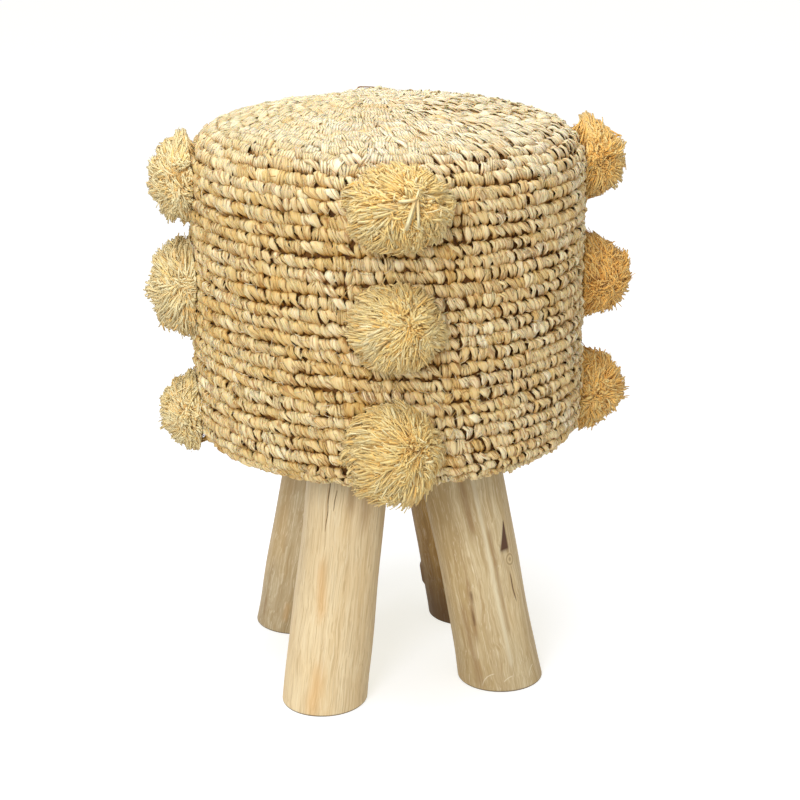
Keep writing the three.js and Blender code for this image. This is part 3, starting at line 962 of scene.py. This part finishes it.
def stitches(chosen):
    """The stitches that are chosen, each shaped by its own chances and laid on the drum."""
    batches = []
    for number, pattern in enumerate(stitch_patterns):
        which = np.flatnonzero(chosen & (kind == number))
        if not len(which):
            continue
        size = len(which)
        is_fibre = number == len(pattern_shares)

        def chance(spread, middle=0.0, least=-np.inf, most=np.inf):
            return np.clip(middle + spread * draw.normal(0, 1, size)[:, None], least, most)

        across, out, up = np.moveaxis(np.repeat(pattern.corners[None], size, axis=0), 2, 0)
        flat_here = flatness[which][:, None]
        across = across * chance(*stitch_widths) * (1 + seat_widening * flat_here)
        if is_fibre:
            across = across * (1 - seat_fibre_shortening * flat_here)
        out = out * chance(*stitch_depths) * (1 - seat_flatness * flat_here)
        out = out + chance(depth_spread) * mm
        up = up * chance(*stitch_heights) * (1 + seat_lengthening * flat_here)
        across = across - up * chance(*stitch_leans)
        narrowed = np.where(is_open[which], open_row_narrowing, 0.0)[:, None]
        narrowed = narrowed + chance(narrowing_spread)
        across = across * (1 + narrowed * up / mm / 2)
        spin = chance(fibre_spin) - flat_here if is_fibre else chance(strip_spin)
        across, up = turned(across, up, spin)
        across, out = turned(across, out, chance(*stitch_twists))
        jitter = draw.normal(0, fibre_crumple if is_fibre else crumple, (3, *across.shape)) * mm
        jitter *= 1 - seat_flatness * flat_here
        # Painted shade on the deeper corners of a strip
        buried = np.clip((shown_depth - out) / (buried_depth - shown_depth), 0, 1)
        fall = 0 if is_fibre else buried_painted_shade * (1 - seat_unburied_share * flat_here)
        tone_here = tone[which][:, None] - fall * buried
        across = across + jitter[0]
        out = out + jitter[1] - stitch_sink * (1 - (1 - seat_sink_share) * flat_here)
        up = up + jitter[2]
        run = stitch_run[which][:, None]
        radius = np.maximum(np.interp(run, cover_runs, cover_radii), first_run)
        turns = stitch_turn[which][:, None] + across / radius
        copies = settled(on_cover(turns, run - up, out))
        same = np.ones_like(tone_here)
        leaf = np.stack([tone_here, hue[which][:, None] * same, seed[which][:, None] * same], axis=2)
        batches.append((pattern, copies, leaf))
    return batches


leaf_material = bpy.data.materials.new("crocheted_leaf")
paint = Paint(leaf_material)
leaf_tone, leaf_hue, leaf_seed = paint.parts(paint.attribute("leaf"))
around, along = paint.parts(paint.node("ShaderNodeUVMap", {"uv_map": "along"}))[:2]
fibre = paint.noise(paint.vector(around * 13, along * 1.6, leaf_seed * 90), 3, 0.6)
fold = paint.noise(paint.vector(around * 6, along * 1.2, leaf_seed * 50 + 10), 1, 0.5)
# Thin dark lines along the strips, painted stronger on the wall: painted shade in their creases
crease = paint.between(fold, 0.46, 0.5) * paint.between(fold, 0.54, 0.5)
blotch = paint.noise(paint.vector(around * 2, along * 5, leaf_seed * 70 + 30), 2, 0.5)
on_wall = paint.between(paint.parts(paint.object_place())[2], *wall_finish_heights)
# Each strip is painted darker and browner towards its lower end, where it goes under the next row:
# painted shade, stronger on the wall
lower_end_shade = paint.between(along, 0.72, 0.52)
lower_shade_share = (0.25 + 0.43 * on_wall) * (0.72 + 0.5 * leaf_hue)
colour = paint.layered(
    paint.ramp(leaf_tone + (blotch - 0.5) * 0.3, leaf_stops),
    [
        (paint.between(leaf_hue, 0.45, 1.0) * 0.45, (224, 176, 86)),
        (paint.between(leaf_hue, 0.38, 0.0) * 0.3, (220, 210, 150)),
        (paint.between(fibre, 0.54, 0.4) * 0.45, (204, 164, 96)),
        (paint.between(fibre, 0.6, 0.78) * 0.35, (255, 247, 222)),
        (lower_end_shade * lower_shade_share, (176, 116, 22)),
        # Painted shade in the creases
        (crease * (0.45 + 0.25 * on_wall), (146, 86, 18)),
    ],
)
constants = {
    "Specular IOR Level": 0.25,
    "Subsurface Weight": 0.25,
    "Subsurface Radius": leaf_glow,
    "Subsurface Scale": 1 * mm,
}
paint.finish(colour, 0.55, (fibre - crease * 0.6, 0.65, 0.4 * mm), constants)

# The runs down the outline at which each piece of the cover begins and ends
wall_start = bend_runs[2]
seat_end = wall_start - 12 * mm
upper_wall_end = wall_start + wall_drop / 3
lower_wall_start = wall_start + 2 * wall_drop / 3
cover_parts = {
    "cover_seat": (0, seat_end),
    "cover_upper_wall": (seat_end, upper_wall_end),
    "cover_middle_wall": (upper_wall_end, lower_wall_start),
    "cover_lower_wall": (lower_wall_start, bend_runs[-1] + row_height),
}
for name, (first, last) in cover_parts.items():
    batches = stitches((station_runs >= first) & (station_runs < last))
    if name == "cover_seat":
        up, out, across = (stray_pattern.corners * (1, 1, -1)).T
        lift_run = math.hypot(*lift_place)
        turns = math.atan2(lift_place[1], lift_place[0]) + across / lift_run
        stray = settled(on_cover(turns, lift_run + up, out))
        batches.append((stray_pattern, stray[None], np.array([stray_fibre_leaf])))
    piece = piled(name, batches)
    piece.data.materials.append(leaf_material)
    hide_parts("raffia_cover")
    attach(piece, "root")


# Back of the cover
# The inner side of the crochet: the strands carried along behind the stitches. Their dark brown is
# painted shade, for the stitches' shade that they lie in, which shows in the gaps. It lies stretched
# over the lining.
back_inset = 5.2 * mm
back_thickness = 2.4 * mm
# Under the seat it lies nearer to the face and is as pale as the stitches, from one height to another
seat_back_lift = 2.9 * mm
seat_back_heights = (424 * mm, 432 * mm)
seat_back_pale_heights = (424 * mm, 431 * mm)
bag_sides = 144
bag_step = 6 * mm


def outline_at(inset, first, last):
    """(radius, height) points along the drum's outline, drawn in by an inset."""
    runs = np.linspace(first, last, int(abs(last - first) / bag_step) + 2)
    points = on_cover(0, runs, -inset)
    return [(0 if run == 0 else x, z) for run, (x, y, z) in zip(runs, points)]


def area_of(outline):
    """The area that an outline sweeps as it turns about the drum's axis."""
    area = 0
    for (radius, height), (next_radius, next_height) in zip(outline, outline[1:]):
        slant = math.hypot(next_radius - radius, next_height - height)
        area += math.pi * (radius + next_radius) * slant
    return area


def turned_skin(name, outline):
    """A round skin drawn up ring by ring through an outline. Its last point may be on the axis."""
    deselect()
    radius, height = outline[0]
    bpy.ops.mesh.primitive_circle_add(vertices=bag_sides, radius=radius, location=(0, 0, height))
    piece = started(name)
    bpy.ops.object.transform_apply(location=True)
    bpy.ops.object.mode_set(mode="EDIT")
    bpy.ops.mesh.select_mode(type="VERT")
    bpy.ops.mesh.select_all(action="SELECT")
    for next_radius, next_height in outline[1:]:
        rise = {"value": (0, 0, next_height - height)}
        bpy.ops.mesh.extrude_region_move(TRANSFORM_OT_translate=rise)
        if next_radius == 0:
            bpy.ops.mesh.merge(type="CENTER")
        else:
            share = next_radius / radius
            bpy.ops.transform.resize(value=(share, share, 1), center_override=(0, 0, next_height))
        radius, height = next_radius, next_height
    bpy.ops.mesh.select_all(action="SELECT")
    bpy.ops.mesh.normals_make_consistent(inside=False)
    bpy.ops.object.mode_set(mode="OBJECT")
    set_corners(piece, settled(corners_of(piece)))
    piece.data.shade_smooth()
    return piece


def thicken(piece, wall):
    """Gives a skin a wall on its inner side."""
    solid = piece.modifiers.new("wall", "SOLIDIFY")
    solid.thickness = wall
    solid.offset = -1
    bpy.context.view_layer.objects.active = piece
    bpy.ops.object.modifier_apply(modifier=solid.name)


back_outline = outline_at(back_inset, bend_runs[-1], 0)
cover_back = turned_skin("cover_back", back_outline)
back_corners = corners_of(cover_back)
lift_from, lift_to = seat_back_heights
back_corners[:, 2] += seat_back_lift * eased((back_corners[:, 2] - lift_from) / (lift_to - lift_from))
set_corners(cover_back, back_corners)
thicken(cover_back, back_thickness)
paint = Paint(bpy.data.materials.new("leaf_in_shade"))
cover_back.data.materials.append(paint.owner)
spot = paint.object_place()
strand = paint.noise(paint.stretched(spot, (260, 260, 420)), 3, 0.6, 0.6)
# Dark brown: painted shade in the gaps between stitches
colour = paint.mix(paint.between(strand, 0.35, 0.7), shade(86, 50, 14), shade(144, 96, 32))
under_seat = paint.between(paint.parts(spot)[2], *seat_back_pale_heights)
colour = paint.mix(under_seat * 0.95, colour, shade(240, 212, 158))
paint.finish(colour, 0.8, (strand, 0.8, 1 * mm))
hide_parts("raffia_cover")
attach(cover_back, "root")
back_area = area_of(back_outline)


# Lining
# A calico bag over the foam, turned under the board and held by the hem's staples.
lining_inset = 7.8 * mm
lining_wall = 1.5 * mm

lining_outline = outline_at(lining_inset, bend_runs[-1], 0)
lining = turned_skin("calico_lining", lining_outline)
thicken(lining, lining_wall)
paint = Paint(bpy.data.materials.new("calico"))
lining.data.materials.append(paint.owner)
spot = paint.object_place()
slub = paint.noise(paint.stretched(spot, (900, 900, 900)), 2, 0.5)
thread = paint.node("ShaderNodeTexChecker", {}, {"Vector": spot, "Scale": 1600}, 1)
colour = paint.mix(thread * 0.25 + slub * 0.3, shade(236, 226, 202), shade(212, 198, 166))
paint.finish(colour, 0.85, (thread, 0.4, 0.3 * mm))
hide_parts("inner_lining")
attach(lining, "root")
lining_area = area_of(lining_outline)


# Foam
# A firm drum of open-cell foam on the board, with pockets for the screw heads, and a softer pad on
# it that gives the seat its crown.
filling_inset = 9.6 * mm
foam_rim = 3 * mm
pocket_radius = 13 * mm
pocket_depth = 9 * mm
pocket_sides = 48


def drill(piece, name, sides, radius, depth, middle):
    """Takes an upright cylinder out of a piece."""
    deselect()
    bpy.ops.mesh.primitive_cylinder_add(vertices=sides, radius=radius, depth=depth, location=middle)
    cutter = started(name)
    hole = piece.modifiers.new(name, "BOOLEAN")
    hole.operation = "DIFFERENCE"
    hole.object = cutter
    deselect()
    bpy.context.view_layer.objects.active = piece
    bpy.ops.object.modifier_apply(modifier=hole.name)
    bpy.data.objects.remove(cutter)


paint = Paint(bpy.data.materials.new("seat_foam"))
foam_material = paint.owner
spot = paint.object_place()
cell = paint.node("ShaderNodeTexVoronoi", {}, {"Vector": spot, "Scale": 900})
blush = paint.noise(paint.stretched(spot, (30, 30, 30)), 2, 0.5)
colour = paint.mix(blush, shade(244, 236, 204), shade(230, 214, 166))
colour = paint.mix(paint.between(cell, 0.25, 0.0) * 0.5, colour, shade(190, 170, 120))
paint.finish(colour, 0.95, (cell, 0.7, 0.6 * mm))

foam_low, foam_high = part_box("foam_block")
pad_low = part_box("crown_pad")[0]
foam_radius = cover_radius - filling_inset
drum_outline = [
    (foam_radius - foam_rim, foam_low.z),
    (foam_radius, foam_low.z + foam_rim),
    (foam_radius, foam_high.z - foam_rim),
    (foam_radius - foam_rim, foam_high.z),
    (0, foam_high.z),
]
pad_outline = [(foam_radius - foam_rim, pad_low.z)]
pad_outline += outline_at(filling_inset, wall_start - foam_rim, 0)
for name, outline, fill, node in (
    ("foam_drum", drum_outline, 0.95, "foam_block"),
    ("crown_foam", pad_outline, 0.8, "crown_pad"),
):
    foam = turned_skin(name, outline)
    bpy.ops.object.mode_set(mode="EDIT")
    bpy.ops.mesh.select_mode(type="EDGE")
    pick(foam, "EDGE", lambda edge, middle: edge.is_boundary)
    bpy.ops.mesh.edge_face_add()
    bpy.ops.mesh.select_all(action="SELECT")
    bpy.ops.mesh.normals_make_consistent(inside=False)
    bpy.ops.object.mode_set(mode="OBJECT")
    if node == "foam_block":
        for leg in legs.values():
            over_leg = np.array([leg_top_ring, 0, foam_low.z])
            middle = turn_about_z(over_leg, math.radians(leg["turn"]))
            drill(foam, "pocket", pocket_sides, pocket_radius, 2 * pocket_depth, middle)
    bpy.context.view_layer.objects.active = foam
    foam.select_set(True)
    bpy.ops.object.shade_smooth_by_angle(angle=math.radians(35))
    foam.data.materials.clear()
    foam.data.materials.append(foam_material)
    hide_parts(node)
    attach(foam, "root")


# Board and fixings
# A round plywood board carries the legs and the foam. Zinc-plated coach screws with washers go down
# through it into the legs, and staples hold the hem under it.
ply_count = 7

paint = Paint(bpy.data.materials.new("plywood"))
plywood = paint.owner
spot = paint.object_place()
board_low, board_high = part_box("base_board")
ply = (paint.parts(spot)[2] - board_low.z) * (ply_count / (board_high.z - board_low.z))
odd = paint.sum_of("PINGPONG", ply, 1.0)
grain = paint.noise(paint.stretched(spot, (24, 420, 420)), 4, 0.6, 0.5)
colour = paint.mix(grain, shade(226, 196, 146), shade(196, 158, 106))
colour = paint.mix(paint.between(odd, 0.2, 0.0) * 0.7, colour, shade(112, 72, 40))
colour = paint.mix(paint.between(odd, 0.55, 0.65) * 0.3, colour, shade(166, 126, 80))
paint.finish(colour, 0.7, (grain, 0.3, 0.3 * mm))

paint = Paint(bpy.data.materials.new("zinc_plated_steel"))
zinc = paint.owner
spangle = paint.noise(paint.stretched(paint.object_place(), (700, 700, 700)), 3, 0.6)
colour = paint.mix(spangle, shade(186, 190, 194), shade(210, 208, 198))
paint.finish(colour, 0.25 + 0.25 * spangle, (spangle, 0.15, 0.2 * mm), {"Metallic": 1.0})

for name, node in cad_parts.items():
    if name == "base_board":
        finish = plywood
    elif name.startswith(("leg_screw", "leg_washer", "hem_staple")):
        finish = zinc
    elif name.startswith("pompom_tie"):
        finish = leaf_material
    else:
        continue
    for holder in node.material_slots:
        holder.material = finish


# Dust cloth
# Black spun-bonded cloth under the board, cut out round each leg and stapled over the hem.
cloth_low, cloth_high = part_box("dust_cover")
opening_radius = 34 * mm
cloth_radius = cloth_high.x
opening_sides = 64
opening_depth = 10 * mm
# Two rings in its mesh, each in from the one before
cloth_rings = (2 * mm, 8 * mm)
deselect()
bpy.ops.mesh.primitive_circle_add(
    vertices=bag_sides, radius=cloth_radius, fill_type="NGON", location=(0, 0, cloth_high.z)
)
cloth = started("dust_cloth")
bpy.ops.object.transform_apply(location=True)
bpy.ops.object.mode_set(mode="EDIT")
bpy.ops.mesh.select_all(action="SELECT")
for width in cloth_rings:
    bpy.ops.mesh.inset(thickness=width)
bpy.ops.object.mode_set(mode="OBJECT")
thicken(cloth, cloth_high.z - cloth_low.z)
cloth_rise = cloth_high.z / leg_length
opening_ring = leg_foot_ring + (leg_top_ring - leg_foot_ring) * cloth_rise
for leg in legs.values():
    middle = turn_about_z(np.array([opening_ring, 0, cloth_high.z]), math.radians(leg["turn"]))
    drill(cloth, "opening", opening_sides, opening_radius, opening_depth, middle)
paint = Paint(bpy.data.materials.new("spun_cloth"))
cloth.data.materials.clear()
cloth.data.materials.append(paint.owner)
spot = paint.object_place()
dimple = paint.node("ShaderNodeTexVoronoi", {}, {"Vector": spot, "Scale": 700, "Randomness": 0.15})
web = paint.noise(paint.stretched(spot, (600, 600, 600)), 3, 0.7)
colour = paint.mix(paint.between(dimple, 0.1, 0.5), shade(34, 32, 31), shade(56, 53, 51))
paint.finish(colour, 0.9, (dimple + 0.4 * web, 0.6, 0.3 * mm))
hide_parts("dust_cover")
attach(cloth, "root")


# Pompoms
# Cut strands of the same leaf, tied at the middle and sewn tight to the wall, where they open into
# half a ball. They part at one place, sweep out from it in tufts, and a few cross the rest.
pompom_size = 70 * mm
pompom_strands = 3000
pompom_tufts = 80
strand_width = 1.7 * mm
strand_width_shares = (0.6, 1.5)
strand_thickness = 0.6 * mm
# The shine of the many fine edges of cut leaf
pompom_sheen = 0.7
sheen_tint = (1.0, 0.78, 0.42, 1)
pompom_stops = [
    (0.0, (250, 192, 98)),
    (0.35, (255, 216, 132)),
    (0.65, (255, 230, 158)),
    (1.0, (255, 243, 196)),
]
# How long the tufts are and each strand in them, and where strands start and how far they bulge, all
# as shares of the pompom's half size
tuft_lengths = (0.86, 1.04)
strand_lengths = (0.88, 1.02)
strand_starts = (0.56, 0.84)
strand_bulges = (0.82, 1.0)
# How far a strand's middle is out of place, in millimetres, and how much strands differ in the way
# that they face
middle_scatter = 1.0
facing_spread = 0.5
# How far a strand is drawn to its tuft at most, and how much of the sweep it takes at least
most_tuft_pull = 0.4
least_sweep_share = 0.35
# How much tufts and strands differ in their way, in how pale they are, and strands in hue
tuft_swirl = 0.12
strand_swirl = 0.08
tuft_tone_spread = 0.07
strand_tone_spread = 0.16
strand_hue_spread = 0.2
# The share of the strands that cross the rest, and of those that stand out, and how much more
# the first differ in their way and how much longer the others are
stray_share = 0.04
stray_swirl = 4
stray_length = 1.07
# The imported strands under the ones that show: their share of the pompom's size, and how much
# darker they are
packed_share = 0.79
packed_shade = 0.3
pompom_seed = 700
cover_low = 190 * mm
# Where each sits (its turn about the drum, and its level on the wall), its size shares, how pale and
# how golden its leaf is, how far along the wall and up it its strands part, seen from outside, and
# how far they sweep from there
pompoms = {
    "front_top": (-90.7, 0.793, (0.49, 1.1, 0.93), (0.66, 0.5), (0.31, 0.43), 0.6),
    "front_middle": (-91.4, 0.472, (0.48, 1.03, 0.94), (0.66, 0.5), (0.33, 0.24), 0.9),
    "front_bottom": (-92.7, 0.12, (0.5, 1.03, 1.16), (0.66, 0.45), (0.9, 0.55), 0.8),
    "left_top": (182.2, 0.775, (0.45, 1.03, 1.02), (1.0, 0.55), (6, 0.3), 0.85),
    "left_middle": (182.5, 0.453, (0.51, 1, 1.15), (1.0, 0.58), (6, 0.4), 0.85),
    "left_bottom": (182.8, 0.08, (0.41, 0.96, 0.9), (0.95, 0.55), (2.4, 0.2), 0.7),
    "right_top": (1.5, 0.8, (0.48, 0.94, 0.95), (0.36, 0.72), (-2.8, 0.2), 0.8),
    "right_middle": (0.5, 0.461, (0.58, 0.98, 0.97), (0.36, 1.0), (-2.4, -0.3), 0.6),
    "right_bottom": (1, 0.113, (0.54, 0.95, 0.96), (0.45, 0.85), (-2.4, 0.2), 0.7),
    "back_top": (89.2, 0.79, (0.5, 1.02, 0.94), (0.6, 0.5), (0.3, 0.4), 0.6),
    "back_middle": (90.6, 0.47, (0.51, 1, 0.98), (0.6, 0.55), (-0.2, 0.3), 0.6),
    "back_bottom": (90, 0.11, (0.47, 1.01, 0.95), (0.6, 0.5), (0.1, 0.5), 0.6),
}
# The ends of its tie that show on the upper front pompom, in millimetres: from and to, along the
# wall and up it from the pompom's middle, and the width. Then how pale and golden they are.
tie_ends = [
    ((11.2, 12.0), (-1.5, 11.2), 2.6),
    ((10.2, 13.0), (3.2, -8.0), 3.6),
    ((11.2, 12.6), (11.8, -6.6), 2.4),
    ((9.4, 11.2), (12.6, 18.0), 1.7),
    ((15.5, 3.0), (27.5, 4.3), 1.1),
    ((27.4, 4.6), (26.6, -1.2), 1.1),
]
tie_tone = 0.95
tie_hue = 0.3

deselect()
bpy.ops.mesh.primitive_cylinder_add(vertices=3, radius=0.5, depth=1)
strand = started("cut_strand")
bpy.ops.object.mode_set(mode="EDIT")
pick(strand, "EDGE", lambda edge, middle: abs(middle.z) < 0.1)
bpy.ops.mesh.subdivide(number_cuts=3)
bpy.ops.mesh.select_mode(type="VERT")
pick(strand, "VERT", lambda corner, middle: middle.z > 0.4)
bpy.ops.transform.resize(value=(0.85, 0.8, 1))
pick(strand, "VERT", lambda corner, middle: middle.z < -0.4)
bpy.ops.transform.resize(value=(0.7, 0.7, 1))
bpy.ops.object.mode_set(mode="OBJECT")
strand_pattern = Pattern(strand)

deselect()
bpy.ops.mesh.primitive_ico_sphere_add(subdivisions=4, radius=1)
packed_pattern = Pattern(started("packed_strands"))

paint = Paint(bpy.data.materials.new("cut_leaf"))
pompom_material = paint.owner
leaf_tone, leaf_hue = paint.parts(paint.attribute("leaf"))[:2]
tip = paint.parts(paint.node("ShaderNodeUVMap", {"uv_map": "along"}))[1] * 2 - 1
speck = paint.noise(paint.stretched(paint.object_place(), (700, 700, 700)), 2, 0.5)
colour = paint.layered(
    paint.ramp(leaf_tone + (speck - 0.5) * 0.5, pompom_stops),
    [
        (paint.between(leaf_hue, 0.6, 1.0) * 0.65, (252, 190, 90)),
        # Towards the root the strands are painted more golden: painted shade deep in the pompom
        (paint.between(tip, 0.75, 0.05) * 0.55, (255, 200, 108)),
    ],
)
constants = {
    "Specular IOR Level": 0.2,
    "Sheen Weight": pompom_sheen,
    "Sheen Roughness": 0.5,
    "Sheen Tint": sheen_tint,
}
paint.finish(colour, 0.6, None, constants)


def unit(vectors):
    return vectors / np.linalg.norm(vectors, axis=-1, keepdims=True)


def outward_draws(draw, size):
    """Directions spread evenly over the side away from the wall, and a little back past it."""
    forward = draw.uniform(-0.3, 1, size)
    round_turn = draw.uniform(0, full_turn, size)
    side = np.sqrt(1 - forward**2)
    return np.stack([forward, side * np.cos(round_turn), side * np.sin(round_turn)], axis=1)


def off_wall(points, clearance):
    """Moves points that lie inside the drum's wall straight out of it."""
    wall = np.sqrt(np.maximum((cover_radius + clearance) ** 2 - points[..., 1] ** 2, 0))
    wall = wall - cover_radius
    return np.stack([np.maximum(points[..., 0], wall), points[..., 1], points[..., 2]], axis=-1)


def placed_on_wall(points, turn, level_share):
    """From a pompom's own place on the wall, with X out and Z up, to the stool's."""
    height = cover_low + (seat_height - cover_low) * level_share
    return turn_about_z(points + np.array([cover_radius, 0, height]), math.radians(turn))


def on_face(spots, half_sizes, lift):
    """Points on a pompom's face, from how far each is along the wall and up it from the middle."""
    spots = np.array(spots) * mm
    depth = np.sqrt(1 - (spots[:, 0] / half_sizes[1]) ** 2 - (spots[:, 1] / half_sizes[2]) ** 2)
    return np.stack([half_sizes[0] * depth + lift, spots[:, 0], spots[:, 1]], axis=1)


for number, (name, settings) in enumerate(pompoms.items()):
    turn, level_share, size_shares, (pale, golden), parting, most_sweep = settings
    ends = tie_ends if name == "front_top" else []
    draw = np.random.default_rng(pompom_seed + number)
    half_sizes = pompom_size * np.array([1, 0.5, 0.5]) * size_shares
    size = pompom_strands + len(ends)
    heading = outward_draws(draw, size)
    tufts = outward_draws(draw, pompom_tufts)
    nearest = np.argmax(heading @ tufts.T, axis=1)
    pull = draw.uniform(0.0, most_tuft_pull, size)[:, None]
    heading = unit(heading + pull * (tufts[nearest] - heading))
    sweep = draw.uniform(least_sweep_share, 1, size)[:, None] * most_sweep
    swirl = draw.normal(0, tuft_swirl, (pompom_tufts, 3))[nearest]
    swirl = swirl + draw.normal(0, strand_swirl, (size, 3))
    swirl *= np.where(draw.random(size) < stray_share, stray_swirl, 1)[:, None]
    root_heading = unit(heading * (1 - sweep) + unit(np.array([1, *parting])) * sweep + swirl)
    root = root_heading * half_sizes * draw.uniform(*strand_starts, size)[:, None]
    length = draw.uniform(*tuft_lengths, pompom_tufts)[nearest]
    length = length * draw.uniform(*strand_lengths, size)
    length *= np.where(draw.random(size) < stray_share, stray_length, 1.0)
    tip_place = off_wall(heading * half_sizes * length[:, None], 1.2 * mm)
    bulge = draw.uniform(*strand_bulges, size)[:, None]
    middle = unit(root_heading + heading) * half_sizes * bulge
    middle = off_wall(middle + draw.normal(0, middle_scatter, (size, 3)) * mm, 1 * mm)
    facing = unit(heading + draw.normal(0, facing_spread, (size, 3)))
    width = strand_width * draw.uniform(*strand_width_shares, size)
    tone = pale + draw.normal(0, strand_tone_spread, size)
    tone = tone + draw.normal(0, tuft_tone_spread, pompom_tufts)[nearest]
    hue = golden + draw.normal(0, strand_hue_spread, size)
    if ends:
        # The last strands are the tie's ends
        last_ones = slice(-len(ends), None)
        firsts, lasts, widths = zip(*ends)
        root[last_ones] = on_face(firsts, half_sizes, 1 * mm)
        tip_place[last_ones] = on_face(lasts, half_sizes, 1.5 * mm)
        middle[last_ones] = (root + tip_place)[last_ones] / 2 + np.array([3.5, 0, 0]) * mm
        facing[last_ones] = (1, 0, 0)
        width[last_ones] = np.array(widths) * mm
        tone[last_ones] = tie_tone
        hue[last_ones] = tie_hue

    across, thick, along = np.moveaxis(np.repeat(strand_pattern.corners[None], size, axis=0), 2, 0)
    share = (along + 0.5)[:, :, None]
    route = (
        (1 - share) ** 2 * root[:, None]
        + 2 * share * (1 - share) * middle[:, None]
        + share**2 * tip_place[:, None]
    )
    run_along = unit(tip_place - root)
    flat_side = unit(np.cross(run_along, facing))
    thin_side = np.cross(run_along, flat_side)
    copies = (
        route
        + across[:, :, None] * width[:, None, None] * flat_side[:, None]
        + thick[:, :, None] * strand_thickness * thin_side[:, None]
    )
    leaf = np.stack([tone, hue, draw.random(size)], axis=1).clip(0, 1)
    ball = packed_pattern.corners
    lumps = 1 + 0.05 * np.sin(9 * ball[:, 1] + 3 * number) * np.sin(8 * ball[:, 2] + number)
    ball = off_wall(ball * lumps[:, None] * half_sizes * packed_share, 0.8 * mm)
    packed_leaf = np.array([[pale - packed_shade, golden, 0.5]])
    batches = [
        (strand_pattern, placed_on_wall(copies, turn, level_share), leaf[:, None]),
        (packed_pattern, placed_on_wall(ball, turn, level_share)[None], packed_leaf),
    ]
    pompom = piled(f"raffia_pompom_{name}", batches)
    pompom.data.materials.append(pompom_material)
    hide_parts(f"pompom_{name}")
    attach(pompom, "root")
